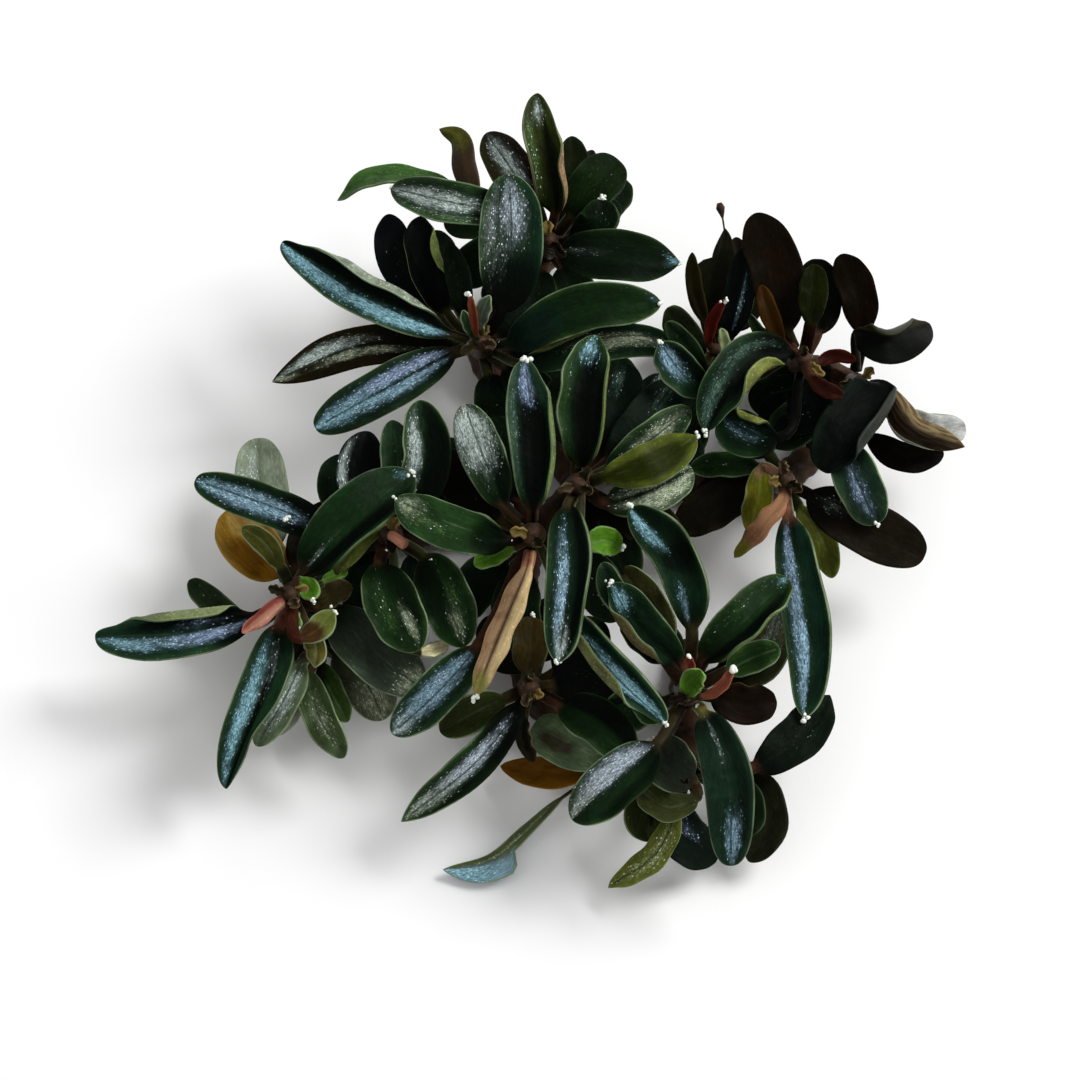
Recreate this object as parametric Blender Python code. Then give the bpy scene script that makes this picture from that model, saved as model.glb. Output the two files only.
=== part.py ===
"""Bucephalandra clump: creeping rhizomes, upright shoots and leathery leaves, cut and laid on a surface.

Lengths are millimetres until a mesh is written, which is in metres. The plant is laid out as it is
seen in a slanted view from in front and above: a place is given as millimetres across from the left
and down from the top of that view, and a height above the surface.
"""

import math
from collections import namedtuple

import bmesh
import bpy
import numpy as np
from mathutils import Vector

METRES = 0.001

# Middle of the clump's outline on the surface, taken as the origin
CENTRE = np.array([0.7, 3.8, 0.0])

# The slanted view
VIEW_ELEVATION = math.radians(60)
VIEW_DISTANCE = 450.0
VIEW_MIDDLE = 54.0
VIEW_TARGET = np.array([0.9, -2.0, 12.0])
BACK = np.array([0.0, -math.cos(VIEW_ELEVATION), math.sin(VIEW_ELEVATION)])
UP = np.array([0.0, math.sin(VIEW_ELEVATION), math.cos(VIEW_ELEVATION)])
RIGHT = np.array([1.0, 0.0, 0.0])
EYE = VIEW_TARGET + VIEW_DISTANCE * BACK

# Stems
RHIZOME_RADIUS = 1.7
SHOOT_RADIUS = 1.35
SHOOT_TIP_RADIUS = 0.8
LEVEL_STEP = 1.1
FIRST_LEVEL = 1.6
JOINT_GAP = 0.4

# Leaves
PETIOLE_WIDTH = 1.3
PETIOLE_THICKNESS = 0.8
BLADE_THICKNESS = 0.55
UPWARD_FACING = 0.35
LAYER_GAP = 0.45
LAYER_CELL = 0.4
HIGHEST_LIFT = 14.0
CROWDED_RADIUS = 3.4
SHORT_LEAF = 5.6
ROLLED_MARGIN = 95
FOLD_WIDTH = 0.45
SHORTEST_EDGE = 0.003

# Surfaces: linear red, green and blue, and roughness
TONES = {
    "dark": (0.010, 0.020, 0.012, 0.32),
    "green": (0.016, 0.044, 0.016, 0.32),
    "bright_green": (0.050, 0.130, 0.030, 0.35),
    "bright": (0.110, 0.260, 0.040, 0.38),
    "light": (0.090, 0.140, 0.060, 0.42),
    "grey_green": (0.085, 0.120, 0.080, 0.42),
    "grey": (0.140, 0.150, 0.130, 0.45),
    "grey_edge": (0.014, 0.018, 0.013, 0.34),
    "silver": (0.050, 0.064, 0.066, 0.36),
    "sparkle": (0.030, 0.040, 0.042, 0.34),
    "blue": (0.016, 0.034, 0.050, 0.30),
    "violet": (0.030, 0.032, 0.060, 0.30),
    "bronze": (0.052, 0.040, 0.022, 0.38),
    "brown": (0.040, 0.026, 0.016, 0.42),
    "maroon": (0.028, 0.014, 0.012, 0.40),
    "olive": (0.110, 0.105, 0.030, 0.42),
    "olive_dark": (0.050, 0.052, 0.022, 0.42),
    "olive_wet": (0.130, 0.125, 0.030, 0.28),
    "olive_edge": (0.022, 0.034, 0.018, 0.34),
    "blue_olive_edge": (0.020, 0.040, 0.036, 0.32),
    "yellow": (0.260, 0.230, 0.040, 0.40),
    "pale": (0.300, 0.320, 0.200, 0.45),
    "orange": (0.300, 0.120, 0.030, 0.42),
    "old": (0.150, 0.095, 0.045, 0.55),
    "old_orange": (0.240, 0.130, 0.050, 0.50),
    "ribbed": (0.230, 0.170, 0.100, 0.55),
    "tan": (0.330, 0.240, 0.130, 0.45),
    "pink": (0.350, 0.190, 0.130, 0.42),
    "red": (0.300, 0.060, 0.030, 0.38),
    "torn": (0.080, 0.090, 0.040, 0.42),
    "rhizome": (0.190, 0.110, 0.070, 0.55),
}

Shoot = namedtuple("Shoot", "across down height")
Leaf = namedtuple("Leaf", "name shoot path width rise arch roll left right tone own")

# Growing points, each on top of an upright shoot: across, down, height
SHOOTS = {
    "north": Shoot(54.8, 24.0, 20.0),
    "northwest": Shoot(48.0, 34.2, 18.0),
    "northeast_small": Shoot(71.7, 35.2, 14.0),
    "northeast": Shoot(80.5, 36.0, 16.0),
    "northeast_low": Shoot(86.0, 38.3, 13.0),
    "east": Shoot(78.6, 48.0, 14.0),
    "middle": Shoot(57.8, 48.5, 20.0),
    "centre": Shoot(53.3, 53.5, 20.0),
    "west_middle": Shoot(38.8, 53.5, 16.0),
    "west": Shoot(29.0, 59.5, 14.0),
    "west_low": Shoot(32.3, 64.0, 9.0),
    "south": Shoot(53.0, 69.0, 12.0),
    "southeast": Shoot(69.0, 69.5, 15.0),
    "southeast_low": Shoot(68.6, 77.0, 10.0),
    "south_low": Shoot(62.6, 76.4, 7.0),
}


def leaf(name, shoot, path, width, rise=2, arch=2, roll=0, left=22, right=22, tone="dark", own=True):
    """One leaf: blade start, middle and tip in the view; margins turn by left and right degrees."""
    return Leaf(name, shoot, path, width, rise, arch, roll, left, right, tone, own)


# Leaves from the hindmost to the foremost in the view. Those with own=False are fused to their stem.
LEAVES = [
    # back of the northwest shoot
    leaf("nw_standing", "northwest", [(43.5, 31.0), (39.9, 26.3), (38.8, 21.4)], 4.2, 5, 2, left=10),
    leaf("nw_rolled", "northwest", [(45.0, 31.4), (43.2, 27.0), (42.0, 21.6)], 4.9, 6, 2, left=50,
         right=145, tone="olive_edge", own=False),
    leaf("nw_narrow", "northwest", [(46.6, 31.8), (45.9, 28.0), (44.8, 24.0)], 2.6, 6, 1, own=False),
    # north shoot
    leaf("north_hook", "north", [(47.8, 20.4), (46.4, 16.6), (45.6, 13.6), (43.9, 12.9)], 2.7, 8, 2,
         roll=160, left=30, right=30, tone="brown", own=False),
    leaf("north_edge", "north", [(57.5, 22.6), (60.2, 21.3), (61.9, 20.3)], 3.6, 2, 1, own=False),
    leaf("north_stub", "north", [(56.5, 21.5), (58.0, 18.2), (59.3, 15.0)], 2.4, 6, 1, tone="brown",
         own=False),
    leaf("north_back", "north", [(56.2, 21.0), (57.3, 17.4), (57.2, 13.6)], 3.4, 7, 1, tone="brown",
         own=False),
    leaf("north_droop", "north", [(46.5, 19.6), (41.5, 17.9), (37.0, 17.8), (33.7, 20.1)], 3.5, 4, 4,
         roll=45, tone="green"),
    leaf("north_right_back", "north", [(57.0, 21.8), (59.2, 18.8), (61.9, 16.0)], 5.2, 6, 2,
         tone="green"),
    leaf("north_right_curl", "north", [(57.0, 24.0), (59.8, 22.4), (60.3, 19.9)], 4.4, 5, 1, right=60,
         own=False),
    leaf("north_left_back", "north", [(53.8, 21.0), (51.6, 17.6), (48.6, 13.3)], 4.6, 7, 2,
         tone="sparkle"),
    leaf("north_left", "north", [(51.0, 21.4), (45.4, 20.3), (39.1, 18.8)], 4.5, 4, 2, tone="silver"),
    leaf("north_tall", "north", [(55.6, 21.5), (54.9, 15.6), (53.7, 9.3)], 4.9, 10, 2, roll=-8,
         left=70, right=120, tone="brown"),
    leaf("north_right", "north", [(55.9, 25.2), (61.0, 25.5), (68.0, 26.3)], 5.4, 1, 2),
    # hindmost leaves of the middle shoot
    leaf("middle_back_left", "middle", [(59.5, 45.8), (61.6, 41.4), (62.9, 36.4)], 4.8, 2, 1, own=False),
    leaf("middle_back_right", "middle", [(60.6, 46.4), (64.4, 42.4), (67.6, 38.0)], 4.8, 1, 1, own=False),
    leaf("middle_far_right", "middle", [(60.4, 47.2), (64.8, 44.2), (69.0, 40.8)], 3.8, 0, 1,
         tone="silver", own=False),
    # northwest shoot
    leaf("nw_pale", "northwest", [(48.0, 32.8), (48.3, 31.0), (49.0, 29.5)], 1.7, 4, 0, tone="pale",
         own=False),
    leaf("nw_bluish", "northwest", [(47.3, 33.6), (46.7, 32.4), (46.3, 31.0)], 1.1, 3, 0, tone="blue",
         own=False),
    leaf("nw_far_right", "northwest", [(52.0, 36.2), (58.6, 34.1), (64.6, 33.6), (68.8, 35.0)], 4.9, 2,
         2, left=145, right=10, tone="olive_edge"),
    leaf("nw_right", "northwest", [(50.6, 34.4), (57.5, 31.0), (66.1, 30.3)], 5.0, 3, 2, tone="green"),
    leaf("nw_low_left", "northwest", [(45.4, 34.5), (36.0, 34.6), (27.2, 38.2)], 4.3, -2, 2, left=-10,
         right=45, tone="bronze"),
    leaf("nw_down_left", "northwest", [(45.6, 35.2), (39.2, 38.5), (31.5, 42.8)], 4.8, -3, 2, left=-15,
         right=-15, tone="violet"),
    leaf("nw_left", "northwest", [(45.6, 33.5), (36.9, 29.9), (28.2, 24.2)], 4.3, 1, 2, left=15,
         right=145, tone="blue_olive_edge"),
    leaf("nw_up", "northwest", [(50.1, 31.2), (51.1, 24.6), (50.9, 17.4)], 6.6, 8, 2, left=12,
         right=18, tone="silver"),
    leaf("nw_bud", "northwest", [(47.7, 33.6), (47.3, 31.4), (47.0, 29.5)], 0.9, 5, 0, tone="red",
         own=False),
    # small shoot of the northeast
    leaf("ne_small_back", "northeast_small", [(73.2, 33.0), (74.0, 28.0), (73.6, 23.7)], 3.0, 6, 1,
         tone="brown", own=False),
    leaf("ne_small_ragged", "northeast_small", [(71.6, 33.0), (71.4, 28.4), (72.5, 22.8)], 4.0, 6, 1,
         tone="brown", own=False),
    leaf("ne_small_shred", "northeast_small", [(70.6, 32.5), (69.5, 29.2), (69.2, 25.2)], 1.8, 6, 1,
         tone="old", own=False),
    leaf("ne_small_right", "northeast_small", [(72.5, 34.0), (73.8, 30.0), (74.8, 24.5)], 3.4, 6, 1,
         tone="blue", own=False),
    leaf("ne_small_left", "northeast_small", [(70.3, 36.0), (68.4, 33.4), (66.7, 30.8)], 3.4, 2, 1,
         tone="brown", own=False),
    leaf("ne_small_strip", "northeast_small", [(70.6, 37.4), (69.5, 35.8), (66.6, 32.2)], 2.4, 1, 1,
         own=False),
    leaf("ne_small_low", "northeast_small", [(70.8, 39.2), (68.7, 37.8), (66.0, 34.3)], 4.0, 3, 1,
         tone="blue", own=False),
    leaf("ne_small_bud", "northeast_small", [(71.0, 34.6), (71.2, 32.2), (72.4, 30.0)], 1.3, 5, 0,
         tone="red", own=False),
    leaf("ne_small_sheath", "northeast_small", [(72.3, 35.7), (72.5, 34.5), (72.1, 32.8)], 1.2, 3, 0,
         tone="pale", own=False),
    # right side of the southeastern shoots
    leaf("se_back_right", "southeast", [(71.5, 67.4), (75.6, 66.4), (78.0, 61.0)], 4.6, 1, 1,
         tone="brown", own=False),
    leaf("se_small_right", "southeast", [(72.6, 67.2), (75.2, 65.8), (78.0, 64.8)], 3.2, 2, 1,
         tone="bright_green", own=False),
    leaf("se_low_right", "southeast_low", [(73.5, 77.0), (76.2, 79.2), (76.9, 82.8), (74.9, 86.2)],
         3.8, -3, 1, tone="brown", own=False),
    leaf("se_far_right", "southeast_low", [(75.2, 76.8), (79.8, 73.8), (83.0, 69.5)], 4.7, 1, 2),
    # back of the northeast shoots
    leaf("ne_back", "northeast", [(81.6, 33.5), (82.2, 30.0), (81.3, 25.9)], 4.4, 1, 1, own=False),
    leaf("ne_tall", "northeast", [(78.8, 33.4), (77.6, 27.0), (75.5, 21.3)], 5.6, 7, 2, tone="maroon"),
    leaf("ne_orange", "northeast", [(78.4, 34.6), (77.1, 31.8), (76.1, 28.5)], 2.0, 3, 1,
         tone="orange", own=False),
    leaf("ne_right_back", "northeast_low", [(86.2, 33.5), (85.9, 29.8), (84.1, 25.4)], 4.0, 7, 2,
         tone="maroon"),
    leaf("ne_oval", "northeast", [(81.0, 32.6), (81.3, 29.8), (81.5, 26.4)], 3.0, 5, 2, tone="olive",
         own=False),
    leaf("ne_far_right", "northeast_low", [(85.6, 33.2), (88.5, 34.2), (93.0, 32.4)], 4.8, 3, 2,
         left=122, right=10, tone="olive_edge"),
    # east shoot
    leaf("east_olive", "east", [(79.8, 50.6), (82.0, 53.6), (83.3, 57.8)], 3.0, -2, 1, tone="olive",
         own=False),
    leaf("east_left_back", "east", [(76.6, 47.4), (73.0, 48.8), (69.2, 52.2)], 4.6, -1, 1,
         tone="brown", own=False),
    leaf("east_left", "east", [(76.0, 46.9), (73.0, 46.4), (69.0, 46.8)], 2.8, 0, 1, tone="green",
         own=False),
    leaf("east_right", "east", [(80.8, 49.4), (86.0, 52.5), (92.5, 55.6)], 5.7, -2, 2, tone="maroon"),
    leaf("east_long", "east", [(78.8, 51.4), (80.3, 59.6), (81.1, 66.0), (80.5, 71.7)], 5.0, -6, 3,
         left=60, right=15, tone="blue"),
    leaf("east_yellow", "east", [(76.4, 46.8), (75.9, 49.6), (74.9, 53.4)], 3.0, -4, 1, tone="yellow",
         own=False),
    leaf("east_sheath", "east", [(78.5, 49.4), (76.6, 52.0), (73.4, 55.8)], 2.2, -3, 1, left=-70,
         right=-70, tone="pink", own=False),
    # front of the northeast shoots
    leaf("ne_red_right", "northeast", [(81.6, 36.3), (83.3, 35.6), (85.6, 36.0)], 1.5, 0, 0,
         tone="red", own=False),
    leaf("ne_red_down", "northeast", [(81.0, 37.6), (82.3, 38.8), (84.4, 39.6)], 1.7, -1, 0,
         tone="red", own=False),
    leaf("ne_black", "northeast_low", [(83.0, 39.8), (80.0, 41.2), (75.8, 41.2)], 5.0, 0, 1),
    leaf("ne_far_low", "northeast_low", [(86.8, 43.4), (90.2, 45.7), (94.4, 45.3)], 3.2, -2, 1,
         tone="brown", own=False),
    leaf("ne_grey_tip", "northeast_low", [(88.8, 41.2), (92.6, 43.1), (96.6, 42.8)], 3.8, 0, 1,
         tone="grey", own=False),
    leaf("ne_ribbed", "northeast_low", [(88.3, 38.9), (91.3, 42.7), (96.5, 44.7)], 3.0, 1, 1, left=-50,
         right=-50, tone="ribbed"),
    leaf("ne_low_blue", "northeast_low", [(84.2, 44.0), (85.7, 48.0), (87.7, 52.4)], 4.8, -3, 2,
         tone="violet"),
    leaf("ne_down", "northeast_low", [(87.9, 38.3), (85.2, 42.3), (82.3, 47.2)], 6.2, -2, 2, left=145,
         right=15, tone="grey_edge"),
    leaf("ne_curved_low", "northeast", [(77.8, 43.6), (75.4, 43.3), (72.2, 41.5)], 5.6, 0, 1, left=10,
         right=145, tone="olive_edge"),
    leaf("ne_curved", "northeast", [(79.0, 35.4), (76.0, 35.6), (72.9, 38.8), (70.6, 43.1)], 5.8, 1, 3,
         left=145, right=15, tone="olive_edge"),
    # middle and centre shoots
    leaf("middle_up", "middle", [(58.2, 46.6), (58.3, 40.4), (59.6, 33.5)], 5.5, 6, 2, left=45,
         right=120, tone="green"),
    leaf("middle_silver", "middle", [(60.4, 50.3), (64.2, 49.4), (69.2, 46.8)], 4.8, -3, 2,
         tone="silver"),
    leaf("middle_olive", "middle", [(60.2, 47.8), (64.4, 46.6), (69.7, 43.6)], 4.4, -1, 2, left=-20,
         right=-20, tone="olive_wet"),
    leaf("middle_bright", "middle", [(58.6, 54.2), (60.4, 54.1), (62.2, 54.6)], 3.0, -3, 1,
         tone="bright", own=False),
    leaf("centre_back", "centre", [(50.4, 52.2), (47.0, 48.8), (43.6, 45.2)], 5.0, 0, 1, own=False),
    leaf("centre_silver", "centre", [(50.6, 50.8), (48.8, 46.8), (46.4, 40.4)], 4.6, 3, 1, tone="silver"),
    # western shoots
    leaf("wm_back_left", "west_middle", [(37.7, 51.5), (35.9, 48.2), (36.8, 43.1)], 4.6, 4, 1, own=False),
    leaf("wm_back", "west_middle", [(39.1, 51.0), (39.8, 46.6), (39.2, 42.0)], 3.6, 5, 1, tone="green",
         own=False),
    leaf("wm_back_right", "west_middle", [(40.6, 51.6), (42.6, 46.8), (42.0, 40.0)], 5.0, 5, 1,
         left=30, tone="silver"),
    leaf("west_left_back", "west", [(25.0, 62.4), (21.8, 60.7), (18.9, 58.0)], 2.8, 0, 1, tone="green",
         own=False),
    leaf("west_round", "west", [(27.6, 55.0), (26.3, 49.5), (25.8, 43.8)], 5.4, 2, 1, left=5, right=5,
         tone="grey_green"),
    leaf("west_old", "west", [(28.4, 57.6), (25.3, 54.8), (22.7, 51.0)], 5.7, -1, 1, left=5, right=5,
         tone="old_orange"),
    leaf("west_small", "west", [(28.2, 57.0), (26.6, 54.5), (24.2, 52.7)], 2.4, 0, 1, tone="olive",
         own=False),
    leaf("wm_left", "west_middle", [(34.5, 53.2), (26.5, 50.4), (19.5, 48.0)], 4.1, 0, 2, left=-10,
         right=25, tone="blue"),
    leaf("west_olive", "west", [(33.4, 57.2), (35.4, 54.4), (39.2, 50.6)], 2.8, 1, 2, left=-30,
         right=-30, tone="olive", own=False),
    leaf("west_left", "west", [(25.6, 61.4), (17.4, 63.4), (9.5, 63.6)], 5.2, 0, 2, left=12, right=145,
         tone="blue_olive_edge"),
    leaf("west_low_grey", "west_low", [(30.8, 65.4), (28.8, 69.2), (26.6, 73.7)], 4.6, -2, 1,
         tone="grey", own=False),
    leaf("west_low_right", "west_low", [(33.6, 65.2), (36.6, 68.2), (38.4, 72.0)], 5.4, -2, 1,
         tone="grey_green", own=False),
    leaf("west_low_strip", "west_low", [(32.0, 66.2), (33.0, 69.0), (34.8, 72.2)], 2.8, 0, 1,
         tone="light", own=False),
    leaf("west_low_down", "west_low", [(31.0, 67.0), (31.8, 71.4), (34.4, 75.8)], 3.4, 0, 1,
         tone="light", own=False),
    leaf("west_low_light", "west_low", [(30.4, 66.0), (28.6, 69.6), (25.6, 74.6)], 3.4, 0, 1,
         tone="light", own=False),
    leaf("west_right", "west", [(33.0, 61.2), (37.2, 65.0), (42.4, 69.1)], 6.0, -1, 2),
    leaf("west_down", "west", [(28.0, 62.4), (26.7, 68.0), (24.4, 74.0), (22.6, 78.9)], 5.2, -3, 3,
         left=40, right=10, tone="blue"),
    leaf("wm_down_right", "west_middle", [(42.2, 55.6), (44.6, 60.0), (46.4, 64.7)], 5.4, -2, 1,
         tone="green"),
    leaf("wm_down", "west_middle", [(38.0, 56.2), (39.2, 60.4), (41.8, 65.1)], 5.6, -2, 1, tone="green"),
    leaf("west_cup", "west", [(31.6, 60.6), (33.2, 59.4), (35.2, 58.6)], 2.6, 0, 0, tone="olive",
         own=False),
    leaf("west_up", "west", [(30.3, 57.4), (34.6, 52.4), (41.3, 47.4)], 6.2, 3, 3, left=20, right=75,
         tone="green"),
    leaf("west_young", "west", [(30.0, 58.2), (30.8, 58.8), (31.3, 60.0)], 2.3, 1, 0, tone="bright",
         own=False),
    leaf("west_young_left", "west", [(29.3, 60.8), (29.5, 61.8), (29.9, 62.9)], 1.2, -1, 0,
         tone="bright", own=False),
    leaf("west_lobe_low", "west", [(30.6, 62.8), (31.6, 64.8), (31.5, 66.8)], 2.2, -1, 0, tone="olive",
         own=False),
    leaf("west_lobe", "west", [(30.0, 63.8), (31.4, 63.2), (33.4, 61.0)], 2.6, 1, 0, tone="olive",
         own=False),
    # south shoot, with the leaves that hang over it
    leaf("se_torn", "south_low", [(56.5, 79.6), (52.7, 83.2), (49.1, 86.1), (44.3, 87.7)], 4.6, -5, 1,
         tone="torn"),
    leaf("se_orange", "south_low", [(60.0, 76.6), (55.8, 77.3), (50.0, 76.6)], 3.2, -3, 1, left=5,
         right=5, tone="old_orange", own=False),
    leaf("se_light", "south_low", [(60.4, 76.0), (57.0, 74.4), (53.3, 72.5)], 5.0, 0, 1, left=5,
         right=5, tone="light", own=False),
    leaf("south_back_left", "south", [(50.6, 69.8), (47.4, 71.3), (44.0, 73.2)], 3.8, -2, 1,
         tone="olive_dark", own=False),
    leaf("south_back", "south", [(52.8, 67.4), (53.0, 65.0), (53.2, 61.6)], 3.8, 3, 1, tone="bronze",
         own=False),
    leaf("south_black", "south", [(55.0, 68.6), (59.0, 67.6), (63.6, 69.0)], 5.6, 0, 1, own=False),
    leaf("centre_down_left", "centre", [(47.8, 64.6), (44.0, 69.0), (39.2, 73.4)], 4.6, -8, 2,
         tone="blue"),
    leaf("south_down_left", "south", [(52.1, 70.4), (48.1, 75.7), (40.1, 82.2)], 3.8, -4, 3, left=15,
         right=35, tone="silver"),
    leaf("centre_rolled", "centre", [(52.8, 56.4), (50.4, 62.4), (47.4, 69.8)], 3.0, -6, 2, left=-75,
         right=-75, tone="tan"),
    leaf("centre_young", "centre", [(51.4, 54.6), (49.6, 55.4), (47.4, 56.5)], 2.2, -1, 0,
         tone="bright", own=False),
    leaf("centre_left", "centre", [(50.8, 54.0), (45.2, 52.4), (39.6, 49.9)], 5.4, 0, 2, left=15,
         right=110, tone="green"),
    leaf("centre_up", "centre", [(53.4, 51.2), (53.4, 44.0), (52.5, 35.9)], 5.3, 6, 2, left=40,
         right=145, tone="blue_olive_edge"),
    # southeastern shoots
    leaf("se_brown", "southeast", [(71.0, 69.6), (74.2, 70.4), (77.7, 70.2)], 4.2, -1, 1, left=60,
         tone="brown", own=False),
    leaf("se_behind", "southeast", [(67.0, 65.8), (65.2, 61.4), (61.8, 56.6)], 4.2, 1, 1,
         tone="bronze", own=False),
    leaf("se_tiny", "southeast", [(64.0, 62.4), (61.4, 59.4), (60.3, 56.2)], 2.8, 0, 1, tone="blue",
         own=False),
    leaf("se_up", "southeast", [(69.2, 63.2), (68.1, 56.6), (63.1, 50.7)], 4.9, 7, 3, left=25,
         right=65, tone="blue"),
    leaf("se_up_right", "southeast", [(70.2, 66.3), (74.4, 62.1), (78.8, 57.8)], 4.9, 3, 2, left=18,
         right=85, tone="green"),
    leaf("se_up_left", "southeast", [(67.9, 67.0), (64.0, 63.2), (61.0, 58.4)], 5.4, 2, 2, left=130,
         right=25, tone="olive_edge"),
    leaf("se_bud", "southeast", [(70.1, 69.7), (72.0, 68.8), (73.3, 66.9)], 1.2, 3, 0, tone="red",
         own=False),
    leaf("se_bud_back", "southeast", [(69.0, 68.0), (69.0, 66.8), (68.9, 65.6)], 1.1, 3, 0, tone="red",
         own=False),
    leaf("se_young", "southeast", [(68.7, 69.5), (69.1, 68.4), (70.1, 67.0)], 2.4, 3, 0, tone="bright",
         own=False),
    leaf("se_low_down", "southeast_low", [(66.4, 79.2), (67.8, 83.0), (71.6, 86.2)], 5.0, -5, 1,
         tone="violet", own=False),
    leaf("se_low_olive", "southeast_low", [(67.8, 80.4), (66.0, 84.8), (60.8, 88.8)], 2.8, -6, 2,
         left=-30, right=-30, tone="olive", own=False),
    leaf("se_low_strip", "southeast_low", [(69.6, 79.6), (67.4, 80.7), (63.6, 78.8)], 3.0, -1, 1,
         left=-30, right=-30, tone="olive", own=False),
    leaf("se_low_round", "southeast_low", [(69.2, 78.2), (67.3, 76.8), (65.1, 74.0)], 5.2, 1, 1,
         tone="grey_green", own=False),
    leaf("south_right", "south", [(56.0, 70.4), (60.0, 72.4), (63.4, 75.8)], 4.8, 2, 2, tone="green"),
    leaf("se_down_left", "southeast", [(65.8, 74.4), (61.7, 78.0), (57.2, 82.0)], 5.4, -3, 2,
         tone="silver"),
    leaf("se_down", "southeast", [(70.3, 71.2), (72.8, 77.8), (73.1, 86.6)], 4.9, -4, 3, left=30,
         right=12, tone="green"),
    # foremost leaves
    leaf("centre_down_right", "centre", [(56.8, 61.2), (61.0, 67.0), (66.6, 72.4)], 4.6, -5, 3,
         left=75, right=145, tone="blue_olive_edge"),
    leaf("middle_down", "middle", [(56.9, 50.6), (57.0, 58.0), (55.8, 66.2)], 4.8, -2, 4, left=80,
         right=20, tone="blue"),
]

# Leaves with a pointed tip, and with a broad one
POINTED = {
    "north_droop", "north_hook", "north_right", "nw_low_left", "nw_narrow", "nw_pale", "ne_small_ragged",
    "ne_small_shred", "ne_ribbed", "east_sheath", "east_yellow", "middle_olive", "centre_rolled",
    "south_down_left", "west_lobe", "west_lobe_low", "west_young", "se_far_right", "se_low_olive",
    "se_orange", "se_torn",
}
BROAD = {
    "east_right", "ne_low_blue", "ne_down", "ne_grey_tip", "north_right_back", "nw_left", "nw_down_left",
    "west_left", "west_round", "wm_left", "se_down", "se_light",
}

# Rolled margins: the shares of the blade where the roll begins and ends, how far out from the midrib
# the fold lies, and the width of the rolled half beside the other
ROLLS = {
    "nw_left": (0.04, 0.95, 0.4, 1.7),
    "nw_far_right": (0.0, 0.7, 0.3, 1.0),
    "nw_rolled": (0.2, 1.0, 0.3, 1.0),
    "north_tall": (0.0, 0.75, 0.35, 1.0),
    "ne_far_right": (0.06, 1.0, 0.25, 1.0),
    "ne_down": (0.0, 0.95, 0.4, 1.3),
    "ne_curved": (0.0, 0.85, 0.3, 1.2),
    "ne_curved_low": (0.1, 1.0, 0.35, 1.0),
    "middle_up": (0.0, 1.0, 0.55, 1.0),
    "centre_left": (0.0, 0.4, 0.5, 1.0),
    "centre_up": (0.0, 0.9, 0.5, 1.1),
    "west_left": (0.03, 0.9, 0.35, 1.5),
    "se_up_left": (0.08, 0.9, 0.25, 1.0),
    "centre_down_right": (0.0, 0.85, 0.25, 1.1),
}

# Torn or lopsided leaves: side of the midrib, the shares of the blade where the narrow part begins and
# ends, the share of the width that is left there, and the share of the blade over which it narrows
TEARS = {
    "se_torn": [(1.0, -0.1, 0.56, 0.22, 0.05), (-1.0, -0.1, 1.1, 0.34, 0.05)],
    "ne_small_ragged": [(1.0, 0.62, 1.1, 0.35, 0.05)],
    "west_down": [(1.0, 0.25, 1.5, 0.3, 0.45)],
}

# Creeping stems: each section runs under its shoots, between free ends or joints given as x, y
SECTIONS = {
    "rhizome_north": ["north", "northwest", (0.0, 17.5)],
    "rhizome_centre": [(0.2, 17.0), "middle", "centre", (-1.0, -2.0)],
    "rhizome_east": [(6.6, 13.0), "east", (29.0, 14.0)],
    "rhizome_northeast": [(29.6, 14.4), "northeast_low", "northeast", "northeast_small", (14.0, 27.4)],
    "rhizome_west": [(-2.5, 5.4), "west_middle", "west", "west_low", (-18.6, -8.6)],
    "rhizome_south": [(-1.1, -2.6), "south", "south_low", (11.2, -21.9)],
    "rhizome_southeast": [(11.8, -22.0), "southeast_low", "southeast", (16.4, -8.2)],
}


def unit(vectors):
    return vectors / np.linalg.norm(vectors, axis=-1, keepdims=True)


def placed(across, down, height):
    """Point at this height that is seen at this place of the slanted view."""
    on_plane = VIEW_TARGET + (across - VIEW_MIDDLE) * RIGHT + (VIEW_MIDDLE - down) * UP
    ray = on_plane - EYE
    return EYE + ray * (height - EYE[2]) / ray[2]


def seen(points):
    """Across, down and nearness to the viewer of points, in the slanted view."""
    offset = points - EYE
    depth = -offset @ BACK
    across = VIEW_MIDDLE + (offset @ RIGHT) * VIEW_DISTANCE / depth
    down = VIEW_MIDDLE - (offset @ UP) * VIEW_DISTANCE / depth
    return across, down, VIEW_DISTANCE - depth


def shoot_top(name):
    return placed(*SHOOTS[name])


def is_short(row):
    """Young leaves, buds and sheaths at the growing point."""
    shoot = SHOOTS[row.shoot]
    across, down = row.path[-1]
    return not row.own and math.hypot(across - shoot.across, down - shoot.down) < SHORT_LEAF


def levels():
    """Distance of each leaf base below the growing point: the foremost leaf is the uppermost."""
    depths = {}
    for name, shoot in SHOOTS.items():
        rows = [row for row in LEAVES if row.shoot == name]
        longer = [row for row in rows if not is_short(row)]
        room = (shoot.height - 4.0) / math.sin(VIEW_ELEVATION) - FIRST_LEVEL
        step = min(LEVEL_STEP, room / max(1, len(longer)))
        for place, row in enumerate(reversed(longer)):
            depths[row.name] = FIRST_LEVEL + place * step
        for place, row in enumerate(reversed([row for row in rows if is_short(row)])):
            depths[row.name] = 0.5 + 0.25 * place
    return depths


def laying_order():
    """All leaves from the back, with the young ones of a shoot after its long ones."""
    order = []
    for place, row in enumerate(LEAVES):
        if is_short(row):
            continue
        order.append(row)
        if not any(later.shoot == row.shoot and not is_short(later) for later in LEAVES[place + 1:]):
            order += [young for young in LEAVES if young.shoot == row.shoot and is_short(young)]
    return order


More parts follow.
